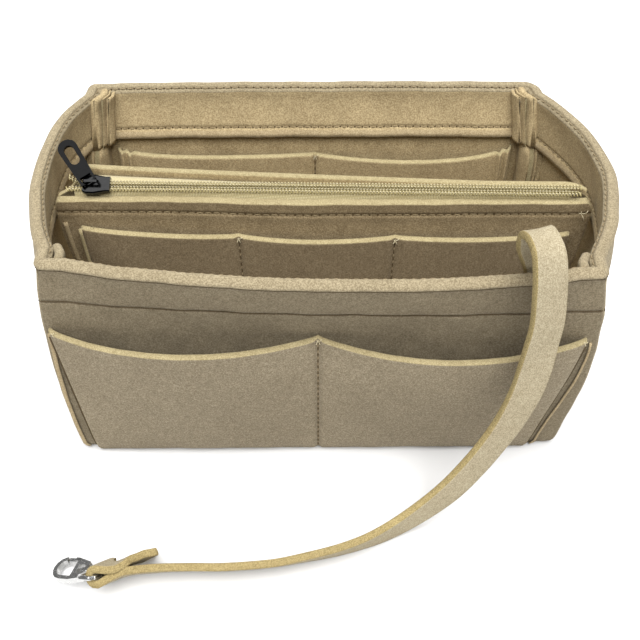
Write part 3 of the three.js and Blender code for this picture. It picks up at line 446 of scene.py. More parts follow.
def groove(z, at, depth, width):
    return depth * np.exp(-((z - at) / width) ** 2)


def waver(x, y, z):
    """Slow unevenness of soft felt."""
    a = np.sin(x * 210 + z * 95 + 1.3) * np.sin(z * 180 - y * 140 + 0.4)
    b = np.sin(x * 470 - z * 330 + y * 260 + 2.1) * 0.35
    c = np.sin(x * 95 + y * 120 + z * 60) * 0.6
    return WAVER_HEIGHT * (a + b + c)


def close_rows(low, high, step, marks=(), reach=0.003, fine=0.0005):
    """Heights from low to high, denser near the marks."""
    count = max(2, int(round((high - low) / step)) + 1)
    rows = list(np.linspace(low, high, count))
    for mark in marks:
        rows += [z for z in np.arange(mark - reach, mark + reach, fine) if low < z < high]
    rows = sorted(rows)
    kept = [rows[0]]
    for z in rows[1:-1]:
        if z - kept[-1] > fine * 0.6 and rows[-1] - z > fine * 0.6:
            kept.append(z)
    kept.append(rows[-1])
    return np.array(kept)


# Mesh builders
def make_mesh(name, points, faces, materials, face_slots=None):
    mesh = bpy.data.meshes.new(name)
    mesh.from_pydata([tuple(p) for p in points], [], [tuple(f) for f in faces])
    for item in materials:
        mesh.materials.append(item)
    if face_slots is not None:
        mesh.polygons.foreach_set("material_index", np.array(face_slots, np.int32))
    mesh.polygons.foreach_set("use_smooth", [True] * len(mesh.polygons))
    mesh.update()
    obj = bpy.data.objects.new(name, mesh)
    bpy.context.scene.collection.objects.link(obj)
    return obj


def outward(obj):
    """Turns the mesh's faces outward."""
    work = bmesh.new()
    work.from_mesh(obj.data)
    bmesh.ops.recalc_face_normals(work, faces=work.faces)
    work.to_mesh(obj.data)
    work.free()
    return obj


def attach(obj, body, node=None):
    """Puts a piece on its body, in place of a CAD node where one is named."""
    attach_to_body(obj, body)
    if node:
        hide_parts(node)
    return obj


def join(name, objects):
    bpy.ops.object.select_all(action="DESELECT")
    for obj in objects:
        obj.select_set(True)
    bpy.context.view_layer.objects.active = objects[0]
    bpy.ops.object.join()
    result = bpy.context.view_layer.objects.active
    result.name = name
    result.data.name = name
    return result


def circle(middle, reach, first, second, sides):
    """Ring of points round a middle, in the plane of two directions."""
    turns = (np.arange(sides) * 2 * math.pi / sides)[:, None]
    return middle + reach * (np.cos(turns) * first + np.sin(turns) * second)


def swept(name, loops, materials, slots, cap_slot):
    """Closed solid through loops of points: loops[column][point]."""
    loops = np.asarray(loops, float)
    columns, count = loops.shape[:2]
    index = np.arange(columns * count).reshape(columns, count)
    turned = np.roll(index, -1, axis=1)
    faces = np.stack([index[:-1], index[1:], turned[1:], turned[:-1]], 2).reshape(-1, 4).tolist()
    start = columns * count
    for k in range(count):
        faces.append((start, index[0, k], turned[0, k]))
        faces.append((start + 1, turned[-1, k], index[-1, k]))
    face_slots = list(slots) * (columns - 1) + [cap_slot] * 2 * count
    points = np.vstack([loops.reshape(-1, 3), loops[0].mean(axis=0), loops[-1].mean(axis=0)])
    return outward(make_mesh(name, points, faces, materials, face_slots))


def felt_panel(name, outer, inner, materials, edge_swell=EDGE_SWELL):
    """Closed sheet of felt between two grids of points, with soft raw edges.

    outer and inner are arrays [row][column][xyz]; materials are the felt face's and the cut edge's."""
    outer = np.asarray(outer, float)[:, :, None, :]
    inner = np.asarray(inner, float)[:, :, None, :]
    shares = np.array(EDGE_SHARES)
    grid = mix(outer, inner, shares[None, None, :, None])
    swell = edge_swell * np.sqrt(np.clip(1 - (2 * shares - 1) ** 2, 0, 1))
    edges = ((grid[-1], grid[-2]), (grid[0], grid[1]), (grid[:, 0], grid[:, 1]), (grid[:, -1], grid[:, -2]))
    pushes = [unit(edge - inside) * swell[None, :, None] for edge, inside in edges]
    for (edge, _), push in zip(edges, pushes):
        edge += push
    index = np.arange(grid[..., 0].size).reshape(grid.shape[:3])
    faces = []
    slots = []
    cut_sheets = [index[-1], index[0], index[:, 0], index[:, -1]]
    for number, sheet in enumerate([index[:, :, 0], index[:, :, -1]] + cut_sheets):
        corners = (sheet[:-1, :-1], sheet[:-1, 1:], sheet[1:, 1:], sheet[1:, :-1])
        faces.append(np.stack([corner.ravel() for corner in corners], 1))
        slots += [0 if number < 2 else 1] * len(faces[-1])
    faces = np.vstack(faces)
    used = np.zeros(index.size, bool)
    used[faces.ravel()] = True
    renumber = np.cumsum(used) - 1
    return outward(make_mesh(name, grid.reshape(-1, 3)[used], renumber[faces], materials, slots))


def tube(name, path, radius, material, sides=6):
    """Round tube along a list of points."""
    path = np.asarray(path, float)
    tangents = unit(np.gradient(path, axis=0))
    side = unit(np.cross(tangents[0], [0.31, 0.52, 0.79]))
    loops = []
    for place, tangent in zip(path, tangents):
        side = unit(side - tangent * np.dot(side, tangent))
        loops.append(circle(place, radius, side, np.cross(tangent, side), sides))
    return swept(name, loops, [material], [0] * sides, 0)


def stitches(name, path, lift, material, body, pitch=STITCH_PITCH, radius=THREAD, holes=True):
    """Thread stitches laid along a path; lift is the direction out of the felt at each point."""
    path = np.asarray(path, float)
    lift = np.broadcast_to(np.asarray(lift, float), path.shape)
    run = np.concatenate([[0], np.cumsum(np.linalg.norm(np.diff(path, axis=0), axis=1))])
    bends = np.linspace(0, 1, THREAD_BENDS)
    rise = np.sin(math.pi * bends) ** THREAD_ARCH_POWER
    thick = radius * (THREAD_TIP_SHARE + (1 - THREAD_TIP_SHARE) * rise)
    points = []
    faces = []
    slots = []

    def value_at(values, spots):
        return np.stack([np.interp(spots, run, values[:, k]) for k in range(3)], -1)

    def add_rings(rings, slot):
        first = len(points)
        last = first + (len(rings) - 1) * THREAD_SIDES
        for ring in rings:
            points.extend(ring)
        for low in range(first, last, THREAD_SIDES):
            for k in range(THREAD_SIDES):
                turn = (k + 1) % THREAD_SIDES
                faces.append((low + k, low + turn, low + THREAD_SIDES + turn, low + THREAD_SIDES + k))
        faces.append(tuple(reversed(range(first, first + THREAD_SIDES))))
        faces.append(tuple(range(last, last + THREAD_SIDES)))
        slots.extend([slot] * (len(faces) - len(slots)))

    starts = pitch * np.arange(int(run[-1] // pitch))
    for start in starts:
        places = start + pitch * ((1 - STITCH_SHARE) / 2 + bends * STITCH_SHARE)
        up = unit(value_at(lift, places))
        line = value_at(path, places) + up * ((rise - THREAD_SUNK_SHARE) * radius * THREAD_ARCH)[:, None]
        across = unit(np.cross(unit(np.gradient(line, axis=0)), up))
        add_rings([circle(line[j], thick[j], across[j], up[j], THREAD_SIDES) for j in range(THREAD_BENDS)], 0)
    # Dark discs at each puncture: painted shade in the needle holes
    for start in starts if holes else ():
        middle = value_at(path, start)
        up = unit(value_at(lift, start))
        along = unit(value_at(path, start + pitch / 4) - middle + 1e-9)
        across = unit(np.cross(along, up))
        add_rings([circle(middle + up * HOLE_RADIUS * high, HOLE_RADIUS * wide, across, along, THREAD_SIDES)
                   for wide, high in HOLE_RING_SHARES], 1)
    return attach(make_mesh(name, points, faces, [material, NEEDLE_HOLE_SHADE], slots), body)


# Materials
def wire(material, source, target):
    material.node_tree.links.new(source, target)


def add_node(material, kind, values):
    node = material.node_tree.nodes.new("ShaderNode" + kind)
    for name, value in values.items():
        node.inputs[name].default_value = value
    return node


def new_material(name, values):
    """A material and its shader, with these values on the shader's own sockets."""
    material = bpy.data.materials.new(name)
    material.use_nodes = True
    material.node_tree.nodes.clear()
    shader = add_node(material, "BsdfPrincipled", values)
    output = add_node(material, "OutputMaterial", {})
    wire(material, shader.outputs["BSDF"], output.inputs["Surface"])
    return material, shader


def linear(*parts):
    """Linear colour of an sRGB colour's red, green and blue, given from 0 to 255."""
    shares = [part / 255 for part in parts]
    return (*(s / 12.92 if s <= 0.04045 else ((s + 0.055) / 1.055) ** 2.4 for s in shares), 1)


def noise_node(material, scale, detail, roughness):
    place = add_node(material, "TexCoord", {})
    noise = add_node(material, "TexNoise", {"Scale": scale, "Detail": detail, "Roughness": roughness})
    wire(material, place.outputs["Object"], noise.inputs["Vector"])
    return noise.outputs["Fac"]


def ramp_node(material, source, low, high, low_colour, high_colour):
    ramp = add_node(material, "ValToRGB", {})
    for end, position, colour in zip(ramp.color_ramp.elements, (low, high), (low_colour, high_colour)):
        end.position = position
        end.color = colour
    wire(material, source, ramp.inputs["Fac"])
    return ramp.outputs["Color"]


def multiply_node(material, first, second):
    node = add_node(material, "Mix", {})
    node.data_type = "RGBA"
    node.blend_type = "MULTIPLY"
    node.inputs["Factor"].default_value = 1
    wire(material, first, node.inputs[6])
    wire(material, second, node.inputs[7])
    return node.outputs[2]


def grey(value):
    return (value, value, value, 1)


def bump_chain(material, shader, layers):
    """Bump from several textures: (output, strength, distance) each."""
    target = shader.inputs["Normal"]
    for source, strength, distance in reversed(layers):
        bump = add_node(material, "Bump", {"Strength": strength, "Distance": distance})
        wire(material, source, bump.inputs["Height"])
        wire(material, bump.outputs["Normal"], target)
        target = bump.inputs["Normal"]


def felt_material(name, dark, light, fibre_scale=1500, bump=0.5, sheen=0.08):
    material, shader = new_material(name, {
        "Roughness": 0.95, "Specular IOR Level": 0.15,
        "Sheen Weight": sheen, "Sheen Roughness": 0.6, "Sheen Tint": linear(235, 226, 205),
    })
    fibres = noise_node(material, fibre_scale, *FIBRE_DETAIL)
    patches = noise_node(material, *PATCHES)
    nap = noise_node(material, *NAP)
    colour = ramp_node(material, fibres, *FIBRE_BAND, linear(*dark), linear(*light))
    shade = ramp_node(material, patches, *PATCH_BAND, PATCH_SHADE, grey(1))
    nap_shade = ramp_node(material, nap, *NAP_BAND, NAP_SHADE, grey(1))
    colour = multiply_node(material, multiply_node(material, colour, shade), nap_shade)
    wire(material, colour, shader.inputs["Base Color"])
    bump_chain(material, shader, [(nap, bump * 0.5, NAP_DEPTH), (fibres, bump, FIBRE_DEPTH)])
    return material


def metal_material(name, colour, roughness, smudge):
    material, shader = new_material(name, {"Metallic": 1})
    haze = noise_node(material, 700, 3, 0.6)
    wear = noise_node(material, 2600, 2, 0.5)
    bright = [min(1, part * 1.18) for part in colour]
    tone = ramp_node(material, haze, 0.35, 0.7, (*colour, 1), (*bright, 1))
    rough = ramp_node(material, haze, 0.3, 0.75, grey(roughness), grey(roughness + smudge))
    wire(material, tone, shader.inputs["Base Color"])
    wire(material, rough, shader.inputs["Roughness"])
    bump_chain(material, shader, [(wear, 0.04, 0.0001)])
    return material


def woven_material(name, dark, light):
    """Herringbone tape: two crossed waves."""
    material, shader = new_material(name, {"Roughness": 0.8, "Sheen Weight": 0.2})
    place = add_node(material, "TexCoord", {})
    waves = []
    for angle in (38, -38):
        mapping = add_node(material, "Mapping", {"Rotation": (0, 0, math.radians(angle))})
        wave = add_node(material, "TexWave", {"Scale": 520, "Distortion": 0.6})
        wire(material, place.outputs["Object"], mapping.inputs["Vector"])
        wire(material, mapping.outputs["Vector"], wave.inputs["Vector"])
        waves.append(wave.outputs["Color"])
    speck = noise_node(material, 900, 3, 0.6)
    weave = multiply_node(material, *waves)
    tone = ramp_node(material, weave, 0, 0.7, linear(*dark), linear(*light))
    stain = ramp_node(material, speck, 0.3, 0.7, (0.9, 0.9, 0.88, 1), grey(1))
    wire(material, multiply_node(material, tone, stain), shader.inputs["Base Color"])
    bump_chain(material, shader, [(weave, 0.5, 0.0003), (speck, 0.2, 0.0002)])
    return material


def plastic_material(name, dark, light):
    material, shader = new_material(name, {"Roughness": 0.42, "Coat Weight": 0.15})
    speck = noise_node(material, 1300, 3, 0.6)
    tone = ramp_node(material, speck, 0.3, 0.7, linear(*dark), linear(*light))
    wire(material, tone, shader.inputs["Base Color"])
    bump_chain(material, shader, [(speck, 0.15, 0.0001)])
    return material


FELT_FACE = felt_material("felt_face", (126, 114, 91), (162, 150, 123))
# Darker, greyer copy of the same felt: painted shade for the long walls' outer faces, which lean away from
# the top light
FELT_OUTSIDE_SHADE = felt_material("felt_outside_painted_shade", (103, 93, 74), (134, 123, 102))
# Darker copy of the same felt: painted shade for the outer pockets' forward-facing panels, a little lighter
# than the walls above them
FELT_POCKET_SHADE = felt_material("felt_outer_pocket_painted_shade", (116, 105, 86), (151, 140, 118))
# Warmer, brighter copy of the same felt: painted warm bounce light for faces inside the box
FELT_INSIDE_LIT = felt_material("felt_inside_painted_bounce_light", (147, 129, 96), (187, 169, 131))
# Darker copy of the inside felt: painted shade for the pouch front, in the narrow space behind the front wall
FELT_POUCH_SHADE = felt_material("felt_pouch_painted_shade", (116, 100, 74), (150, 134, 104))
# Still darker copy of the felt: painted shade for the slot pocket, partly in the front wall's shadow
FELT_SLOT_SHADE = felt_material("felt_slot_pocket_painted_shade", (104, 90, 68), (134, 119, 94))
FELT_CUT = felt_material("felt_cut_edge", (140, 127, 94), (174, 162, 126), 1900, 0.8, 0.05)
FELT_LIP = felt_material("felt_lip", (146, 129, 98), (182, 165, 132), 1900, 0.8, 0.05)
STRAP_FACE = felt_material("strap_face", (144, 132, 106), (181, 171, 146), 1900, 0.5, 0.03)
STRAP_EDGE = felt_material("strap_cut_edge", (128, 113, 76), (168, 152, 108), 2000, 0.7, 0.03)
THREAD_MATERIAL = felt_material("sewing_thread", (122, 106, 80), (160, 144, 112), 3000, 0.2)
# Dark brown for the discs at the needle holes: painted shade in the punctures
NEEDLE_HOLE_SHADE = felt_material("needle_hole_painted_shade", (74, 60, 40), (102, 85, 60), 3000, 0.2, 0)
# Dark brown for thin tubes and ridges along creases and gaps: painted shade in the grooves
CREASE_SHADE_MATERIAL = felt_material("sewn_crease_painted_shade", (66, 55, 40), (96, 82, 62), 3000, 0.2, 0)
PALE_THREAD = felt_material("pale_thread", (184, 172, 136), (214, 205, 178), 3000, 0.2)
TAPE = woven_material("zip_tape_weave", (168, 154, 112), (212, 202, 162))
COIL = plastic_material("zip_coil_plastic", (132, 118, 74), (176, 164, 120))
NICKEL = metal_material("polished_nickel", (0.55, 0.55, 0.54), 0.2, 0.1)
DARK_NICKEL = metal_material("dark_nickel", (0.004, 0.004, 0.004), 0.1, 0.1)
SLIDER_NICKEL = metal_material("slider_nickel", (0.011, 0.011, 0.011), 0.12, 0.1)


# Camera
def make_camera():
    data = bpy.data.cameras.new("camera")
    data.sensor_width = SENSOR_WIDTH
    data.lens = FOCAL_PIXELS / IMAGE_SIDE * SENSOR_WIDTH
    data.clip_start, data.clip_end = CAMERA_REACH
    camera = bpy.data.objects.new("camera", data)
    camera.location = CAMERA_PLACE
    camera.rotation_euler = (math.radians(90 - CAMERA_PITCH), 0, math.radians(-CAMERA_YAW))
    bpy.context.scene.collection.objects.link(camera)
    bpy.context.scene.camera = camera


# Strap
def catmull(points, samples):
    """Centripetal curve through points; samples are span numbers with shares."""
    spans = len(points) - 1
    ends = [2 * points[0] - points[1], 2 * points[-1] - points[-2]]
    padded = np.vstack([ends[0], points, ends[1]])
    result = []
    for spot in samples:
        i = min(spans - 1, int(spot))
        t = spot - i
        p0, p1, p2, p3 = padded[i:i + 4]
        d0, d1, d2 = np.sqrt(np.linalg.norm(np.diff(padded[i:i + 4], axis=0), axis=1))
        m1 = ((p1 - p0) / d0 - (p2 - p0) / (d0 + d1) + (p2 - p1) / d1) * d1
        m2 = ((p2 - p1) / d1 - (p3 - p1) / (d1 + d2) + (p3 - p2) / d2) * d1
        a = 2 * p1 - 2 * p2 + m1 + m2
        b = -3 * p1 + 3 * p2 - 2 * m1 - m2
        result.append(a * t ** 3 + b * t ** 2 + m1 * t + p1)
    return np.array(result)


HOOK_ALONG = unit(HOOK_AXIS)
BAR = np.array(RING_BAR, float)
BAR = unit(BAR - HOOK_ALONG * np.dot(BAR, HOOK_ALONG))
RING_FACE = np.cross(BAR, HOOK_ALONG)


def strap_frames():
    """Points along the strap's middle, with the directions of its width and out of its face."""
    fold_radius = RING_WIRE + FOLD_CLEAR + FELT / 2
    fold = []
    for angle in np.linspace(0, math.pi, FOLD_STEPS + 1):
        along = fold_radius * math.sin(angle) - RING_REACH / 2
        place = np.array(RING_CENTRE) + HOOK_ALONG * along + RING_FACE * fold_radius * math.cos(angle)
        fold.append((*place, *BAR))
    knots = np.array([*STRAP_ROUTE, *fold, *TAIL_ROUTE], float)
    points = knots[:, :3]
    widths = unit(knots[:, 3:])
    spans = len(points) - 1
    spots = []
    for i in range(spans):
        count = max(2, int(round(np.linalg.norm(points[i + 1] - points[i]) / STRAP_STEP)))
        spots += [i + k / count for k in range(count)]
    spots = np.array(spots + [spans])
    line = catmull(points, spots)
    tangents = unit(np.gradient(line, axis=0))
    low = np.minimum(spots.astype(int), spans - 1)
    width = mix(widths[low], widths[low + 1], (spots - low)[:, None])
    width = unit(width - tangents * np.sum(width * tangents, axis=1, keepdims=True))
    return line, width, unit(np.cross(width, tangents))


def make_strap():
    line, width, face = strap_frames()
    across = np.linspace(-1, 1, STRAP_COLUMNS)
    rows = line[None] + width[None] * (across * (STRAP_WIDTH / 2 - EDGE_SWELL))[:, None, None]
    rise = face[None] * (FELT / 2 + STRAP_CROWN * (1 - across ** 2))[:, None, None]
    strap_felt = felt_panel("leash_strap_felt", rows + rise, rows - rise, [STRAP_FACE, STRAP_EDGE],
                            STRAP_EDGE_SWELL)
    return attach(strap_felt, "felt_box", "leash_strap"), line


# Felt box
def swell_at(z):
    share = z / HEIGHT
    return SIDE_SWELL * 4 * share * (1 - share)


def foot_at(z):
    return FOOT_INSET * max(0, 1 - z / FOOT_HEIGHT) ** 2


def corner_at(side, end, z):
    left_x = LEFT_FRONT_X if end < 0 else LEFT_BACK_X
    right_x = RIGHT_FRONT_X if end < 0 else RIGHT_BACK_X
    x = left_x if side < 0 else right_x
    skew = FRONT_SKEW * smooth(z / FRONT_SKEW_HEIGHT) if side > 0 and end < 0 else 0
    flare = BACK_FLARE * smooth((z - BACK_FLARE_START) / (HEIGHT - BACK_FLARE_START))
    y = FRONT_Y - skew if end < 0 else BACK_Y + flare
    return x + side * (swell_at(z) - foot_at(z)), y - end * foot_at(z)


def long_wall_at(end, u, z):
    left = corner_at(-1, end, z)
    right = corner_at(1, end, z)
    x = mix(left[0] + CORNER_RADIUS + GAP, right[0] - CORNER_RADIUS - GAP, u)
    arch = 4 * u * (1 - u)
    front_rise = (FRONT_BULGE * smooth((z - FRONT_BULGE_START) / (HEIGHT - FRONT_BULGE_START))
                  + FRONT_BELLY * math.sin(math.pi * z / HEIGHT))
    shape = arch ** 0.8 if end < 0 else 1 - (1 - arch) ** 2
    bulge = front_rise if end < 0 else BACK_BULGE
    return x, mix(left[1], right[1], u) + end * bulge * shape


def long_wall_y(end, x, z):
    left = corner_at(-1, end, z)[0] + CORNER_RADIUS + GAP
    right = corner_at(1, end, z)[0] - CORNER_RADIUS - GAP
    u = np.clip((x - left) / (right - left), 0, 1)
    return long_wall_at(end, u, z)[1]


def end_wall_at(side, v, z):
    front = corner_at(side, -1, z)
    back = corner_at(side, 1, z)
    y = mix(front[1] + CORNER_RADIUS + GAP, back[1] - CORNER_RADIUS - GAP, v)
    peak = LEFT_PEAK_SHARE if side < 0 else RIGHT_PEAK_SHARE
    front_power, back_power = LEFT_BULGE_POWERS if side < 0 else RIGHT_BULGE_POWERS
    reach = np.where(v < peak, (peak - v) / peak, (v - peak) / (1 - peak))
    shape = 1 - reach ** np.where(v < peak, front_power, back_power)
    rise = mix(END_BULGE_LOW_SHARE, 1, (z / HEIGHT) ** END_BULGE_POWER)
    bulge = LEFT_BULGE if side < 0 else RIGHT_BULGE
    return mix(front[0], back[0], v) + side * bulge * rise * shape, y


def corner_line(before, after, side, end, z):
    """Rounded corner from the end of one line of points to the start of the next."""
    tip = np.array(corner_at(side, end, z))
    rim_fillet = BACK_RIGHT_FILLET if side > 0 and end > 0 else CORNER_FILLET
    fillet = mix(CORNER_FILLET_LOW, rim_fillet, smooth((z - FACING_EDGE) / (HEIGHT - FACING_EDGE)))
    start = tip - unit(tip - before[-1]) * fillet
    finish = tip + unit(after[0] - tip) * fillet
    straight_steps = CORNER_STEPS // 2
    leg_in = [mix(before[-1], start, i / straight_steps) for i in range(straight_steps)]
    leg_out = [mix(finish, after[0], (i + 1) / straight_steps) for i in range(straight_steps)]
    round_steps = 2 * (CORNER_STEPS - straight_steps)
    t = np.linspace(0, 1, round_steps + 1)[:, None]
    arc = (1 - t) ** 2 * start + 2 * (1 - t) * t * tip + t ** 2 * finish
    return np.vstack([leg_in, arc, leg_out])


def ring_at(z):
    """Outer line of the box at a height: for each wall its points and their outward directions."""
    long_shares = np.linspace(CORNER_START_SHARE, 1 - CORNER_START_SHARE, LONG_COLUMNS)
    end_shares = np.linspace(CORNER_START_SHARE, 1 - CORNER_START_SHARE, END_COLUMNS)
    straight = [np.stack(np.broadcast_arrays(*line), 1) for line in (
        long_wall_at(-1, long_shares, z),
        end_wall_at(1, end_shares, z),
        long_wall_at(1, long_shares[::-1], z),
        end_wall_at(-1, end_shares[::-1], z),
    )]
    turns = ((1, -1), (1, 1), (-1, 1), (-1, -1))
    corners = [corner_line(straight[k], straight[(k + 1) % 4], *turns[k], z) for k in range(4)]
    pieces = [np.vstack([corners[k - 1][CORNER_STEPS:-1], straight[k], corners[k][1:CORNER_STEPS + 1]])
              for k in range(4)]
    whole = np.vstack([piece[:-1] for piece in pieces])
    tangent = unit(np.roll(whole, -2, 0) - np.roll(whole, 2, 0))
    normals = np.stack([tangent[:, 1], -tangent[:, 0]], 1)
    starts = np.cumsum([0] + [len(piece) - 1 for piece in pieces])
    return [(piece, np.take(normals, range(start, start + len(piece)), axis=0, mode="wrap"))
            for piece, start in zip(pieces, starts)]


WALLS = [
    ("front_wall_panel", "front_wall_felt", FRONT_FACING_STITCH),
    ("right_end_wall", "right_end_wall_felt", FACING_STITCH),
    ("back_wall_panel", "back_wall_felt", FACING_STITCH),
    ("left_end_wall", "left_end_wall_felt", FACING_STITCH),
]


def rim_half(z):
    """Half of the rim's thickness at a height."""
    return math.sqrt(FELT ** 2 - max(0, z - HEIGHT + FELT) ** 2)


def wall_profile(stitch):
    """(depth into the wall, height, material) of the wall's section, anticlockwise from the outer foot."""
    rows = close_rows(WALL_START, HEIGHT - FELT, ROW_STEP, (stitch,))
    section = []
    for z in rows:
        width = RIM_SET_BACK if z < RIM_OUTER_STITCH else GROOVE_WIDTH
        sunk = groove(z, RIM_OUTER_STITCH, RIM_GROOVE, width) + groove(z, stitch, FACING_GROOVE, GROOVE_WIDTH)
        section.append((sunk, z, 2))
    for i in range(1, RIM_STEPS):
        angle = math.pi * i / RIM_STEPS
        turn = math.cos(angle)
        z = HEIGHT - FELT + FELT * math.sin(angle)
        sunk = groove(z, RIM_OUTER_STITCH if turn > 0 else RIM_INNER_STITCH, RIM_GROOVE, GROOVE_WIDTH) * turn
        section.append((FELT - FELT * turn + sunk, z, 0))
    for z in rows[rows > FACING_EDGE + FACING_START][::-1]:
        sunk = groove(z, FACING_STITCH, FACING_GROOVE, GROOVE_WIDTH)
        lip = FACING_LIP * smooth((FACING_STITCH - z) / (FACING_STITCH - FACING_EDGE))
        section.append((2 * FELT - sunk + lip, z, 4 if z < FACING_STITCH - FACING_LIP_DROP else 3))
    section.append((2 * FELT + FACING_LIP, FACING_EDGE + FACING_CUT_SOFTNESS, 4))
    section += [(FELT + FELT * share, FACING_EDGE - FACING_CUT_DROP, 1) for share in FACING_CUT_SHARES]
    section.append((FELT + FACING_CUT_SOFTNESS, FACING_EDGE + FACING_CUT_SOFTNESS, 3))
    section += [(FELT, z, 3) for z in rows[rows < FACING_EDGE - LINING_START][::-1]]
    return section + [(FELT * share, WALL_FOOT, 1) for share in WALL_FOOT_SHARES]


def wall_lines(index, stitch):
    """Points on a wall's outer face along its rim stitch and its facing stitch, and its inner face."""
    lines = {}
    for label, z, depth in (
        ("rim_outer", RIM_OUTER_STITCH, FELT - rim_half(RIM_OUTER_STITCH) + RIM_GROOVE - THREAD),
        ("rim_inner", RIM_INNER_STITCH, FELT + rim_half(RIM_INNER_STITCH) - RIM_GROOVE / 2 + THREAD),
        ("facing_outer", stitch, FACING_GROOVE - THREAD),
        ("facing_inner", FACING_STITCH, 2 * FELT - FACING_GROOVE + THREAD),
    ):
        points, normals = ring_at(z)[index]
        outer = label.endswith("outer")
        shift = waver(points[:, 0], points[:, 1], z)
        places = points - normals * (depth - shift)[:, None]
        heights = np.full((len(points), 1), z)
        lift = np.hstack([normals if outer else -normals, np.zeros((len(points), 1))])
        lines[label] = (np.hstack([places, heights]), lift)
    return lines


def wall_row(index, depth, z):
    """Points along a wall at a height and a depth into it."""
    points, normals = ring_at(z)[index]
    count = len(points)
    from_end = np.minimum(np.arange(count), np.arange(count)[::-1])
    crease = SEAM_CREASE * np.exp(-(from_end / SEAM_CREASE_COLUMNS) ** 2)
    puff = RIM_PUFF * math.exp(-((z - HEIGHT + FELT) / RIM_PUFF_SPREAD) ** 2)
    if abs(depth / FELT - 1) < RIM_MIDDLE_SHARE:
        puff = 0
    shift = waver(points[:, 0], points[:, 1], z) * min(1, z / WAVER_START) + math.copysign(puff, FELT - depth)
    reach = depth + (crease if depth < FELT else 0) - shift
    return np.hstack([points - normals * reach[:, None], np.full((count, 1), z)])


def make_walls():
    for index, (node, name, stitch) in enumerate(WALLS):
        section = wall_profile(stitch)
        loops = np.stack([wall_row(index, depth, z) for depth, z, _ in section], 1)
        # Long walls' outer faces take the painted-shade copy of the felt; the end walls' outer faces keep the
        # base felt
        outside = FELT_FACE if "end_wall" in node else FELT_OUTSIDE_SHADE
        # Slots: rim top, cut edge, outer face (painted shade on the long walls), inner face (warmer copy with
        # painted bounce light), facing lip
        materials = [FELT_FACE, FELT_CUT, outside, FELT_INSIDE_LIT, FELT_LIP]
        attach(swept(name, loops, materials, [row[2] for row in section], 1), "felt_box", node)
        for label, (path, lift) in wall_lines(index, stitch).items():
            if label.endswith("outer"):
                path = path[CREASE_END_COLUMNS:-CREASE_END_COLUMNS]
                # Dark tube along the sewn crease: painted shade in the groove
                attach(tube(f"{node}_{label}_crease", path, CREASE_WIDTH, CREASE_SHADE_MATERIAL), "felt_box")
            else:
                inside = slice(STITCH_END_COLUMNS, -STITCH_END_COLUMNS)
                stitches(f"{node}_{label}_stitches", path[inside], lift[inside], THREAD_MATERIAL, "felt_box",
                         holes="wall_panel" in node)


# Corner seams: the ends of both walls, turned inward side by side along the end wall
def end_wall_inner_x(side, y, z, depth):
    """x of the end wall's face a depth inside its outer line."""
    front = corner_at(side, -1, z)[1] + CORNER_RADIUS + GAP
    back = corner_at(side, 1, z)[1] - CORNER_RADIUS - GAP
    v = np.clip((y - front) / (back - front), 0.001, 0.999)
    return float(end_wall_at(side, v, z)[0]) - side * depth


def flange_ply(name, side, end, inset, width, reach, low, high, rounded, raw):
    """Upright ply of folded felt beside the end wall, from the long wall inward, with a raw tip."""
    radius = width / 2
    levels = np.linspace(low, high - (radius if rounded else 0), FLANGE_LEVELS)
    section = [(0, z) for z in levels]
    if rounded:
        for angle in np.arange(1, FLANGE_ROUND_STEPS) * math.pi / FLANGE_ROUND_STEPS:
            section.append((radius - radius * math.cos(angle), high - radius + radius * math.sin(angle)))
    section += [(width, z) for z in levels[::-1]]
    wall_depth = 2 * FELT if rounded else FELT
    straight = np.linspace(0, reach - FLANGE_TIP, 9)
    loops = []
    for step in [-FLANGE_ROOT, *straight, reach - FLANGE_TIP_ROUND, reach]:
        shrink = FLANGE_TIP_SHRINK if step >= reach else 0
        loop = []
        for across, z in section:
            y = corner_at(side, end, z)[1] - end * (wall_depth + step)
            x = end_wall_inner_x(side, y, z, wall_depth + inset)
            offset = across + (shrink if across < radius else -shrink) + waver(x, y, z) * FLANGE_WAVER
            loop.append((x - side * offset, y, z - (shrink if z > high - radius else 0)))
        loops.append(loop)
    # Back corners take the warmer painted-bounce-light copy of the felt; front corners keep the base felt
    face = FELT_INSIDE_LIT if end > 0 else FELT_FACE
    return swept(name, loops, [face, FELT_CUT], [0] * len(section), 1 if raw else 0)


def make_corner(side, end, name):
    """Both walls' seam allowances at one corner, running in from the long wall beside the end wall."""
    reach = (FLANGE_REACH if end > 0 else FLANGE_FRONT_REACH) - 2 * FELT
    parts = []
    inset = FLANGE_GAP
    for k, (width, shorter, drop, raw) in enumerate(BACK_HEMS if end > 0 else FRONT_HEMS):
        parts.append(flange_ply(f"{name}_hem_{k}", side, end, inset, width, reach - shorter,
                                FACING_EDGE, HEIGHT - drop, True, raw))
        inset += width + HEM_GAP
    for k in range(2):
        parts.append(flange_ply(f"{name}_ply_{k}", side, end, PLY_STANDOFF + k * (FELT + PLY_GAP), FELT,
                                reach + FELT - PLY_STEP * k, PLY_FOOT, FACING_EDGE - PLY_TOP_CLEAR,
                                False, k == 1))
    attach(join(name + "_allowances", parts), "felt_box", name)


# Narrow raw seam edges that stand out of the felt. Each point of their section: across in widths,
# and out in heights
RIDGE_SHARES = ((-0.5, -0.6), (-0.5, 0.7), (-0.36, 0.93), (-0.12, 1),
                (0.12, 1), (0.36, 0.93), (0.5, 0.7), (0.5, -0.6))
RIDGE_WAVER = 0.8


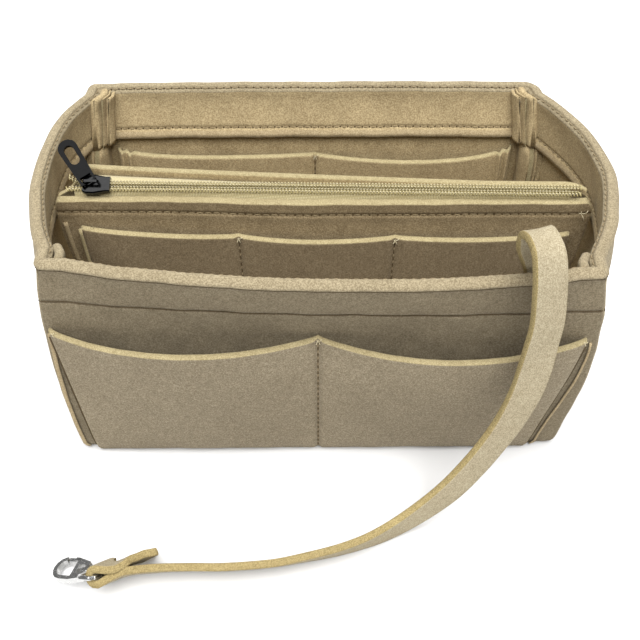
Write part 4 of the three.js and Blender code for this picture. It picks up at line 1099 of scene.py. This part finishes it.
def ridge(name, path, out, width, height, body, materials):
    """Narrow ply of felt along a path, standing out of a surface with its cut edge outward."""
    path = np.asarray(path, float)
    out = unit(np.broadcast_to(np.asarray(out, float), path.shape))
    along = unit(np.gradient(path, axis=0))
    across = unit(np.cross(along, out))
    out = unit(np.cross(across, along))
    shift = waver(path[:, 0], path[:, 1], path[:, 2])[:, None] * RIDGE_WAVER
    loops = np.stack([path + across * (side * width) + out * (height * rise + shift)
                      for side, rise in RIDGE_SHARES], 1)
    attach(swept(name, loops, materials, [0, 1, 1, 1, 1, 1, 0, 0], 1), body)


# Base panel
def make_base():
    low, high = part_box("base_panel")
    ys = np.linspace(low.y, high.y, BASE_ROWS)
    ends = [[end_wall_inner_x(side, y, high.z, FELT + GAP) for y in ys] for side in (-1, 1)]
    grid_x = np.linspace(*ends, BASE_COLUMNS, axis=1)
    grid_y = np.broadcast_to(ys[:, None], grid_x.shape)
    bend = waver(grid_x, grid_y, BASE_WAVER_LEVEL) * BASE_WAVER
    upper = np.stack([grid_x, grid_y, high.z + bend - BASE_SINK], 2)
    lower = np.stack([grid_x, grid_y, np.full_like(grid_x, low.z)], 2)
    base = felt_panel("base_felt", upper, lower, [FELT_INSIDE_LIT, FELT_CUT], BASE_SOFTNESS)
    attach(base, "felt_box", "base_panel")


# Pockets on the long walls
def divider(name, place, u, out, body):
    """A pocket's dividing seam: a dark tube of painted shade along its crease, stitches and a knot of thread
    at its top.
    """
    seam = np.array([place(u, row, FELT) for row in np.linspace(*DIVIDER_ROW_SHARES, DIVIDER_POINTS)])
    lift = np.array(out, float)
    # Dark tube along the seam: painted shade in its crease
    attach(tube(name + "_crease", seam + lift * DIVIDER_CREASE_LIFT, DIVIDER_CREASE, CREASE_SHADE_MATERIAL), body)
    stitches(name + "_stitches", seam + lift * DIVIDER_STITCH_LIFT, out, THREAD_MATERIAL, body)
    tuft(name + "_knot", seam[-1] + lift * KNOT_LIFT + (0, 0, KNOT_LIFT), out, TUFT_LENGTH, body)


def tuft(name, centre, out, length, body, count=5):
    """Loose ends of thread around a knot."""
    out = np.array(out, float)
    t = np.linspace(0, 1, TUFT_POINTS)[:, None]
    parts = []
    for i in range(count):
        turn = TUFT_TURN * i + TUFT_FIRST_TURN
        side = np.array([math.cos(turn), 0, math.sin(turn)])
        reach = length * (TUFT_SHORT_SHARE + (1 - TUFT_SHORT_SHARE) * math.sin(3.1 * i + 1))
        curl = np.array([-math.sin(turn), 0, math.cos(turn)]) * TUFT_CURL * math.sin(5.3 * i)
        path = centre + reach * (side * t + curl * t * t + out * TUFT_RISE * np.sin(math.pi * t * 0.8))
        parts.append(tube(f"{name}_{i}", path, TUFT_THREAD, PALE_THREAD, TUFT_SIDES))
    attach(join(name, parts), body)


def pocket_fill(u):
    """How far a two-part pocket stands open, from 0 at its seams to 1."""
    return np.abs(np.sin(2 * np.pi * u)) ** POCKET_FILL_POWER


def pinch_at(u, seams, depth):
    """How far the dividing seams draw a pocket's outer face in, from 0 to 1."""
    return sum(math.exp(-((u - seam) / PINCH_WIDTH_SHARE) ** 2) for seam in seams) if depth > 0 else 0


def make_pocket(name, node, body, place, us, rows, face):
    """A pocket's panel, where place(u, row, depth) gives its points."""
    rows = np.concatenate([rows, POCKET_LIP_ROW_SHARES])
    outer, inner = ([[place(u, row, depth) for u in us] for row in rows] for depth in (FELT, 0))
    attach(felt_panel(name, outer, inner, [face, FELT_CUT]), body, node)


def outer_pocket_sag(u):
    """The left pocket's top sags most near its left end."""
    if u >= 0.5:
        return pocket_fill(u)
    return np.sin(np.pi * (2 * u) ** OUTER_POCKET_SAG_POWER) ** POCKET_FILL_POWER


def outer_pocket_place(end):
    standoff = OUTER_POCKET_STANDOFF if end < 0 else BACK_POCKET_STANDOFF

    def place(u, row, depth):
        z = mix(OUTER_POCKET_BOTTOM, OUTER_POCKET_TOP - OUTER_POCKET_SAG * outer_pocket_sag(u), row)
        fall = 1 - z / OUTER_POCKET_TOP
        left = mix(OUTER_POCKET_LEFT_TOP, OUTER_POCKET_LEFT_BASE, fall)
        right = mix(OUTER_POCKET_RIGHT_TOP, OUTER_POCKET_RIGHT_BASE, fall)
        x = mix(left, OUTER_POCKET_DIVIDER, 2 * u) if u < 0.5 else mix(OUTER_POCKET_DIVIDER, right, 2 * u - 1)
        fill = pocket_fill(u)
        opened = standoff * fill * row ** OUTER_POCKET_OPEN_POWER
        lift = POCKET_CLEAR + opened + depth - PINCH * pinch_at(u, (0.5,), depth)
        lift += waver(x, 0, z) * min(1, 6 * fill) * POCKET_WAVER
        if depth > 0:
            lift -= OUTER_POCKET_SET_BACK * math.exp(-(z / OUTER_POCKET_SET_BACK_HEIGHT) ** 2)
            lift -= groove(z, OUTER_POCKET_SEAM, OUTER_POCKET_SEAM_GROOVE, OUTER_POCKET_SEAM_WIDTH)
        return x, long_wall_y(end, x, z) + end * lift, z
    return place


def pocket_columns(dividers):
    us = list(np.linspace(0, 1, POCKET_COLUMNS))
    for at in dividers:
        us += list(np.linspace(at - POCKET_SEAM_SHARE, at + POCKET_SEAM_SHARE, POCKET_SEAM_COLUMNS))
    us = sorted(us)
    kept = [us[0]]
    for u in us[1:]:
        if u - kept[-1] > POCKET_COLUMN_GAP_SHARE:
            kept.append(u)
    kept[-1] = 1.0
    return kept


def make_outer_pocket(end, node, name):
    place = outer_pocket_place(end)
    rows = np.concatenate([np.linspace(0, OUTER_POCKET_FOOT_SHARE, OUTER_POCKET_FOOT_ROWS)[:-1],
                           np.linspace(OUTER_POCKET_FOOT_SHARE, POCKET_LIP_SHARE, OUTER_POCKET_ROWS)])
    make_pocket(name, node, "felt_box", place, pocket_columns([0.5]), rows, FELT_POCKET_SHADE)
    divider(node + "_divider", place, 0.5, (0, end, 0), "felt_box")


def make_corner_edges():
    """The raw seam edges beside the ends of the front outer pocket."""
    place = outer_pocket_place(-1)
    for side, label, u, edge in ((-1, "left", 0, LEFT_SEAM_EDGE), (1, "right", 1, RIGHT_SEAM_EDGE)):
        inset_low, inset_high, width = edge
        path = []
        for z in np.linspace(SEAM_EDGE_FOOT, OUTER_POCKET_TOP - SEAM_EDGE_DROP, SEAM_EDGE_POINTS):
            corner = corner_at(side, -1, z)
            inset = mix(inset_low, inset_high, smooth(z / OUTER_POCKET_TOP))
            path.append((corner[0] - side * inset, corner[1] - SEAM_EDGE_LIFT, z))
        ridge(f"front_{label}_seam_edge", path, (0, -1, 0), width, SEAM_EDGE_HEIGHT, "felt_box",
              [FELT_OUTSIDE_SHADE, FELT_LIP])
        # Dark ridge in the gap at each pocket end: painted shade in the channel there
        end_line = np.array([place(u, row, POCKET_GAP_DEPTH)
                             for row in np.linspace(*POCKET_GAP_ROW_SHARES, SEAM_EDGE_POINTS)])
        end_line[:, 0] += side * POCKET_GAP_SHIFT
        ridge(f"front_{label}_pocket_gap", end_line, (0, -1, 0), POCKET_GAP_WIDTH, POCKET_GAP_HEIGHT,
              "felt_box", [CREASE_SHADE_MATERIAL, CREASE_SHADE_MATERIAL])


def inner_pocket_place(u, row, depth):
    sag = INNER_POCKET_SAG * pocket_fill(u) if u > 0.5 else 0
    top = INNER_POCKET_TOP - sag + INNER_POCKET_END_RISE * abs(2 * u - 1) ** 8
    z = mix(FELT + GAP, top, row)
    x = mix(INNER_POCKET_LEFT, INNER_POCKET_RIGHT, u)
    standoff = INNER_POCKET_STANDOFF * (INNER_POCKET_LEFT_SHARE if u < 0.5 else 1)
    opened = standoff * pocket_fill(u) * row ** INNER_POCKET_OPEN_POWER
    lift = POCKET_CLEAR + opened + depth - PINCH * pinch_at(u, (0.5,), depth)
    from_end = min(x - INNER_POCKET_LEFT, INNER_POCKET_RIGHT - x)
    if from_end < 2 * PLEAT_WIDTH:
        lift += PLEAT_HEIGHT * (0.5 - 0.5 * math.cos(2 * math.pi * from_end / PLEAT_WIDTH))
    return x, long_wall_y(1, x, z) - FELT - lift, z


def make_inner_pocket():
    pleats = np.linspace(0, PLEAT_SHARE, PLEAT_COLUMNS)
    us = sorted(set(pocket_columns([0.5])) | set(pleats) | set(1 - pleats))
    make_pocket("back_inner_pocket_felt", "back_inner_pocket", "felt_box", inner_pocket_place, us,
                np.linspace(0, POCKET_LIP_SHARE, INNER_POCKET_ROWS), FELT_INSIDE_LIT)
    divider("back_inner_pocket_divider", inner_pocket_place, 0.5, (0, -1, 0), "felt_box")


# Zipped pouch
def pouch_round(z):
    """Square of the share by which a height reaches into the front's rounded top corners."""
    return (np.maximum(0, z - POUCH_FRONT_TOP + POUCH_CORNER_RADIUS) / POUCH_CORNER_RADIUS) ** 2


def pouch_left_at(z):
    flare = POUCH_LEFT_FLARE * smooth(z / POUCH_FRONT_TOP)
    return POUCH_LEFT_X - flare + POUCH_CORNER_RADIUS / 4 * pouch_round(z)


def pouch_right_at(z):
    flare = POUCH_RIGHT_FLARE * smooth(z / POUCH_FRONT_TOP)
    return POUCH_RIGHT_X + flare - POUCH_CORNER_RADIUS / 2 * pouch_round(z)


def pouch_front_at(x, z):
    top = POUCH_FRONT_Y - POUCH_FRONT_SHIFT * smooth((x - POUCH_FRONT_SHIFT_START) / -POUCH_FRONT_SHIFT_START)
    share = np.minimum(1, z / POUCH_FRONT_TOP)
    return top - POUCH_BELLY * np.sin(np.pi * np.minimum(1, share + 0.1) * 0.95)


def pouch_rear_top_at(x):
    fall = np.clip((POUCH_REAR_BEND_X - x) / POUCH_REAR_FALL_RUN, 0, 1)
    along = np.maximum(0, (x - POUCH_REAR_BEND_X) / (POUCH_RIGHT_X - POUCH_REAR_BEND_X))
    return mix(mix(POUCH_REAR_TOP_LEFT, POUCH_REAR_TOP_RIGHT, along), POUCH_FRONT_TOP, fall)


def pouch_rear_at(x, z):
    along = np.clip((x - POUCH_REAR_BEND_X) / (POUCH_REAR_STRAIGHT_X - POUCH_REAR_BEND_X), 0, 1)
    top = mix(POUCH_REAR_LEFT_Y, POUCH_REAR_RIGHT_Y, along ** 0.8)
    middle = mix(POUCH_REAR_BASE_Y, top, smooth(z / POUCH_FRONT_TOP))
    left_reach = 1 - np.clip((x - pouch_left_at(z)) / POUCH_LEFT_WRAP, 0, 1)
    right_reach = 1 - np.clip((pouch_right_at(z) - x) / POUCH_RIGHT_WRAP, 0, 1)
    return mix(mix(middle, POUCH_LEFT_SEAM_Y, left_reach), POUCH_RIGHT_SEAM_Y, right_reach * right_reach)


def pouch_grid(top_at):
    """x, z and bounded z of a grid on the pouch, with rows from the foot to the top line."""
    top_x = mix(pouch_left_at(POUCH_FRONT_TOP), pouch_right_at(POUCH_FRONT_TOP), POUCH_COLUMNS)
    z = mix(POUCH_BOTTOM, top_at(top_x)[None, :], POUCH_ROWS[:, None])
    level = np.minimum(z, POUCH_FRONT_TOP)
    x = mix(pouch_left_at(level), pouch_right_at(level), POUCH_COLUMNS[None, :])
    return x, z, level


POUCH_COLUMNS = np.concatenate([
    np.linspace(0, 0.06, 12)[:-1],
    np.linspace(0.06, 0.94, 140),
    np.linspace(0.94, 1, 12)[1:],
])
POUCH_ROWS = np.concatenate([np.linspace(0, 0.9, 44)[:-1], np.linspace(0.9, 1, 22)])


def make_pouch_front():
    x, z, _ = pouch_grid(lambda top_x: np.full_like(top_x, POUCH_FRONT_TOP))
    y = pouch_front_at(x, z) + waver(x, 0, z) * POUCH_WAVER
    row_z = POUCH_FRONT_TOP - POUCH_STITCH_DROP
    spread = RAW_EDGE_SPREAD * smooth((z - POUCH_FRONT_TOP + RAW_EDGE_HEIGHT) / RAW_EDGE_HEIGHT)
    outer = np.stack([x, y + groove(z, row_z, POUCH_STITCH_GROOVE, GROOVE_WIDTH), z], 2)
    inner = np.stack([x, y + FELT + spread, z], 2)
    front = felt_panel("pouch_front_felt", outer, inner, [FELT_POUCH_SHADE, FELT_CUT])
    attach(front, "zip_pouch", "pouch_front_panel")
    left = pouch_left_at(row_z) + POUCH_STITCH_INSET
    right = pouch_right_at(row_z) - POUCH_STITCH_INSET
    line_x = np.linspace(left, right, POUCH_STITCH_POINTS)
    line_y = pouch_front_at(line_x, row_z) + waver(line_x, 0, row_z) * POUCH_WAVER + 0.0005
    path = np.stack([line_x, line_y, np.full_like(line_x, row_z)], 1)
    stitches("pouch_front_zip_stitches", path, (0, -1, 0), THREAD_MATERIAL, "zip_pouch")


def make_pouch_rear():
    x, z, level = pouch_grid(pouch_rear_top_at)
    y = pouch_rear_at(x, level)
    sunk = groove(z, pouch_rear_top_at(x) - POUCH_REAR_STITCH_DROP, POUCH_REAR_STITCH_GROOVE, GROOVE_WIDTH)
    outer = np.stack([x, y - sunk, z], 2)
    inner = np.stack([x, y - FELT, z], 2)
    rear = felt_panel("pouch_rear_felt", outer, inner, [FELT_INSIDE_LIT, FELT_CUT])
    attach(rear, "zip_pouch", "pouch_rear_panel")
    line_x = np.linspace(-POUCH_REAR_STITCH_X, POUCH_REAR_STITCH_X, POUCH_STITCH_POINTS)
    line_z = pouch_rear_top_at(line_x) - POUCH_REAR_STITCH_DROP
    line_y = pouch_rear_at(line_x, np.minimum(line_z, POUCH_FRONT_TOP)) - 0.0004
    path = np.stack([line_x, line_y, line_z], 1)
    stitches("pouch_rear_zip_stitches", path, (0, 1, 0), THREAD_MATERIAL, "zip_pouch")


def make_pouch_bottom():
    left = pouch_left_at(POUCH_BOTTOM) + POUCH_LEFT_WRAP * POUCH_BOTTOM_WRAPS
    right = pouch_right_at(POUCH_BOTTOM) - POUCH_RIGHT_WRAP
    xs = np.linspace(left, right, POUCH_BOTTOM_COLUMNS)
    front = pouch_front_at(xs, POUCH_BOTTOM) + FELT + GAP * 2
    back = pouch_rear_at(xs, POUCH_BOTTOM) - FELT - GAP * 2
    y = mix(front[None], back[None], np.linspace(0, 1, POUCH_BOTTOM_ROWS)[:, None])
    x = np.broadcast_to(xs[None], y.shape)
    upper = np.stack([x, y, np.full_like(y, POUCH_BOTTOM + FELT)], 2)
    lower = np.stack([x, y, np.full_like(y, POUCH_BOTTOM)], 2)
    strip = felt_panel("pouch_bottom_felt", upper, lower, [FELT_INSIDE_LIT, FELT_CUT], BASE_SOFTNESS)
    attach(strip, "zip_pouch", "pouch_bottom_strip")


def pouch_pocket_place(u, row, depth):
    bounds = (SLOT_LEFT, SLOT_DIVIDER_LEFT, SLOT_DIVIDER_RIGHT, SLOT_RIGHT)
    fill = abs(math.sin(3 * math.pi * u)) ** SLOT_FILL_POWER
    cell = min(2, int(u * 3))
    end_rise = SLOT_LEFT_RISE if u < 0.5 else SLOT_RIGHT_RISE
    top = SLOT_TOP + end_rise * (2 * u - 1) ** 2 - SLOT_SAG * fill
    z = mix(POUCH_BOTTOM, top, row)
    narrow = SLOT_NARROW * (1 - z / top) * (1 - 2 * u)
    x = mix(bounds[cell], bounds[cell + 1], u * 3 - cell) + narrow
    pinch = SLOT_PINCH * pinch_at(u, SLOT_SHARES, depth)
    lift = POCKET_CLEAR + SLOT_STANDOFF * fill * row ** SLOT_OPEN_POWER + depth - pinch
    return x, pouch_front_at(x, z) - lift, z


def make_pouch_pocket():
    make_pocket("pouch_slot_pocket_felt", "pouch_slot_pocket", "zip_pouch", pouch_pocket_place,
                pocket_columns(SLOT_SHARES), np.linspace(0, POCKET_LIP_SHARE, SLOT_ROWS), FELT_SLOT_SHADE)
    for number, u in enumerate(SLOT_SHARES):
        divider(f"pouch_slot_divider_{number}", pouch_pocket_place, u, (0, -1, 0), "zip_pouch")


def make_pouch_edges():
    """Raw edges standing at the left ends of the slot pocket and of the pouch's front."""
    for number, (right, back) in enumerate(SLOT_PLEATS):
        path = np.array([pouch_pocket_place(0, row, FELT) for row in np.linspace(0.03, 1, 40)])
        path += (right, back, 0)
        path[-1, 2] += 0.0005
        ridge(f"pouch_slot_pocket_pleat_{number}", path, (0, -1, 0), SLOT_PLEAT_WIDTH, SLOT_PLEAT_HEIGHT,
              "zip_pouch", [FELT_SLOT_SHADE, FELT_CUT])
    z = np.linspace(POUCH_BOTTOM + 0.002, POUCH_FRONT_TOP - POUCH_SEAM_EDGE_DROP, 40)
    x = pouch_left_at(z) + POUCH_SEAM_EDGE_INSET
    ridge("pouch_front_left_seam_edge", np.stack([x, pouch_front_at(x, z), z], 1), (0, -1, 0),
          POUCH_SEAM_EDGE_WIDTH, POUCH_SEAM_EDGE_HEIGHT, "zip_pouch", [FELT_POUCH_SHADE, FELT_LIP])


def make_loose_thread():
    right, out, up = LOOSE_THREAD_PLACE
    row_z = POUCH_FRONT_TOP - POUCH_STITCH_DROP
    x = pouch_right_at(row_z) + right
    centre = np.array([x, pouch_front_at(x, row_z + up) + out, row_z + up])
    tuft("pouch_front_loose_thread", centre, (0, -1, 0), LOOSE_THREAD_LENGTH, "zip_pouch", 4)


# Zip: frame along the chain, across it toward the rear, and out of it
ZIP_ALONG = unit((1, -ZIP_SLOPE, 0))
TILT = math.radians(ZIP_TILT)
ZIP_OUT = unit(np.cross(ZIP_ALONG, (0, math.cos(TILT), math.sin(TILT))))
ZIP_ACROSS = np.cross(ZIP_OUT, ZIP_ALONG)


def zip_point(along, across, out):
    along = np.asarray(along, float)[..., None]
    across = np.asarray(across, float)[..., None]
    out = np.asarray(out, float)[..., None]
    return np.array(ZIP_HOME) + ZIP_ALONG * along + ZIP_ACROSS * across + ZIP_OUT * out


def coil_offset_at(along, side):
    opened = smooth((-SLIDER_REAR - along) / COIL_OPEN_RUN)
    return side * (COIL_SPLIT + COIL_WIDTH / 2 + (COIL_OPEN_REAR if side > 0 else COIL_OPEN_FRONT) * opened)


def make_coil(side, node, name):
    start = ZIP_START_X - ZIP_HOME[0]
    end = ZIP_END_X - ZIP_HOME[0]
    t = np.arange(int((end - start) / COIL_PITCH * COIL_TURN_STEPS)) / COIL_TURN_STEPS
    along = start + t * COIL_PITCH + (COIL_PITCH / 2 if side > 0 else 0)
    angle = t * 2 * math.pi
    half = COIL_WIDTH / 2 - COIL_WIRE
    rise = COIL_HEIGHT / 2 - COIL_WIRE
    lean = COIL_LEAN * np.cos(angle) * side
    path = zip_point(along + lean, coil_offset_at(along, side) + half * np.cos(angle),
                     COIL_LIFT + COIL_HEIGHT / 2 + rise * np.sin(angle))
    attach(tube(name, path, COIL_WIRE, COIL), "zip_pouch", node)
    line = np.linspace(start + 0.001, end - 0.001, 300)
    for number, share in enumerate(COIL_SEAM_SHARES):
        seam = zip_point(line, coil_offset_at(line, side) + side * share * half,
                         COIL_LIFT + COIL_HEIGHT + THREAD * 0.4)
        stitches(f"{node}_sewing_{number}", seam, ZIP_OUT, PALE_THREAD, "zip_pouch", COIL_PITCH, COIL_THREAD,
                 False)


def tape_line(along, side):
    opened = coil_offset_at(along, side) - side * (COIL_SPLIT + COIL_WIDTH / 2)
    near = zip_point(along, side * TAPE_CLEAR + opened, -TAPE_DROP)
    far = zip_point(along, side * TAPE_RUN + opened, -TAPE_DROP)
    x = far[0]
    sew_z = (POUCH_FRONT_TOP if side < 0 else float(pouch_rear_top_at(x))) - TAPE_SEW_DEPTH
    panel_at = pouch_front_at if side < 0 else pouch_rear_at
    inward = FELT + TAPE_SEW_CLEAR + TAPE_THICKNESS / 2
    sew_y = float(panel_at(x, min(sew_z, POUCH_FRONT_TOP))) - side * inward
    sewn = np.array([x, sew_y, sew_z])
    return [near, mix(near, far, 0.5), far, mix(far, sewn, 0.25), mix(far, sewn, 0.6), sewn]


def make_tape(side, node, name):
    alongs = np.linspace(TAPE_START_X - ZIP_HOME[0], TAPE_END_X - ZIP_HOME[0], 120)
    lines = np.array([tape_line(along, side) for along in alongs])
    half = unit(np.cross(ZIP_ALONG, np.gradient(lines, axis=1))) * side * TAPE_THICKNESS / 2
    outer = (lines + half).transpose(1, 0, 2)
    inner = (lines - half).transpose(1, 0, 2)
    attach(felt_panel(name, outer, inner, [TAPE, TAPE], 0.0001), "zip_pouch", node)


# Floor, light and backdrop
def add_light(name, kind, toward):
    data = bpy.data.lights.new(name, kind)
    light = bpy.data.objects.new(name, data)
    light.rotation_euler = Vector(toward).to_track_quat("-Z", "Y").to_euler()
    bpy.context.scene.collection.objects.link(light)
    return data, light


def make_floor():
    corners = [(FLOOR_HALF * x, FLOOR_HALF * y, 0) for x, y in ((-1, -1), (1, -1), (1, 1), (-1, 1))]
    material, shader = new_material("floor_white", {"Roughness": 0.9})
    grain = noise_node(material, 40, 2, 0.5)
    wire(material, ramp_node(material, grain, 0.3, 0.7, grey(0.66), grey(0.68)), shader.inputs["Base Color"])
    make_mesh("floor", corners, [(0, 1, 2, 3)], [material])


def make_stage():
    make_floor()
    world = bpy.data.worlds.new("studio")
    bpy.context.scene.world = world
    world.use_nodes = True
    background = world.node_tree.nodes["Background"]
    background.inputs["Color"].default_value = grey(1)
    background.inputs["Strength"].default_value = WORLD_STRENGTH
    sun, _ = add_light("key_light", "SUN", -Vector(KEY_FROM))
    sun.energy = KEY_STRENGTH
    sun.angle = math.radians(KEY_SOFTNESS)
    fill, fill_light = add_light("back_fill", "AREA", Vector(FILL_AT) - Vector(FILL_FROM))
    fill_light.location = FILL_FROM
    fill.shape = "RECTANGLE"
    fill.size, fill.size_y = FILL_SIZE
    fill.energy = FILL_POWER
    bpy.context.scene.view_settings.view_transform = "Standard"
    bpy.context.scene.view_settings.look = "None"


# Build, in order
make_camera()
strap, strap_line = make_strap()
make_walls()
for corner_side, corner_end, corner_name in (
    (-1, -1, "front_left_corner_seam"),
    (1, -1, "front_right_corner_seam"),
    (-1, 1, "back_left_corner_seam"),
    (1, 1, "back_right_corner_seam"),
):
    make_corner(corner_side, corner_end, corner_name)
make_base()
make_outer_pocket(-1, "front_outer_pocket", "front_outer_pocket_felt")
make_corner_edges()
for number, corner_u in enumerate(OUTER_POCKET_KNOT_SHARES):
    corner_spot = np.array(outer_pocket_place(-1)(corner_u, 1, FELT / 2))
    tuft(f"front_outer_pocket_end_knot_{number}", corner_spot + OUTER_POCKET_KNOT_PLACE, (0, -1, 0),
         OUTER_POCKET_KNOT_LENGTH, "felt_box", 4)
make_outer_pocket(1, "back_outer_pocket", "back_outer_pocket_felt")
make_inner_pocket()
make_pouch_front()
make_pouch_rear()
make_pouch_bottom()
make_pouch_pocket()
make_pouch_edges()
make_loose_thread()
make_coil(-1, "zip_coil_front", "zip_coil_front_row")
make_coil(1, "zip_coil_rear", "zip_coil_rear_row")
make_tape(-1, "zip_tape_front", "zip_tape_front_weave")
make_tape(1, "zip_tape_rear", "zip_tape_rear_weave")
for metal_node in ("zip_slider_crown", "zip_slider_sole", "zip_slider_bridge", "snap_hook_swivel_eye",
                   "snap_hook_body", "snap_hook_gate", "snap_hook_gate_pin"):
    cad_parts[metal_node].data.materials.clear()
    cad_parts[metal_node].data.materials.append(SLIDER_NICKEL if "zip" in metal_node else NICKEL)
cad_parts["zip_pull_tab"].data.materials.clear()
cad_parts["zip_pull_tab"].data.materials.append(DARK_NICKEL)

strap_length = float(np.sum(np.linalg.norm(np.diff(strap_line, axis=0), axis=1)))
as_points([tuple(p) for p in strap_line[::4]] + [tuple(strap_line[-1])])

make_stage()
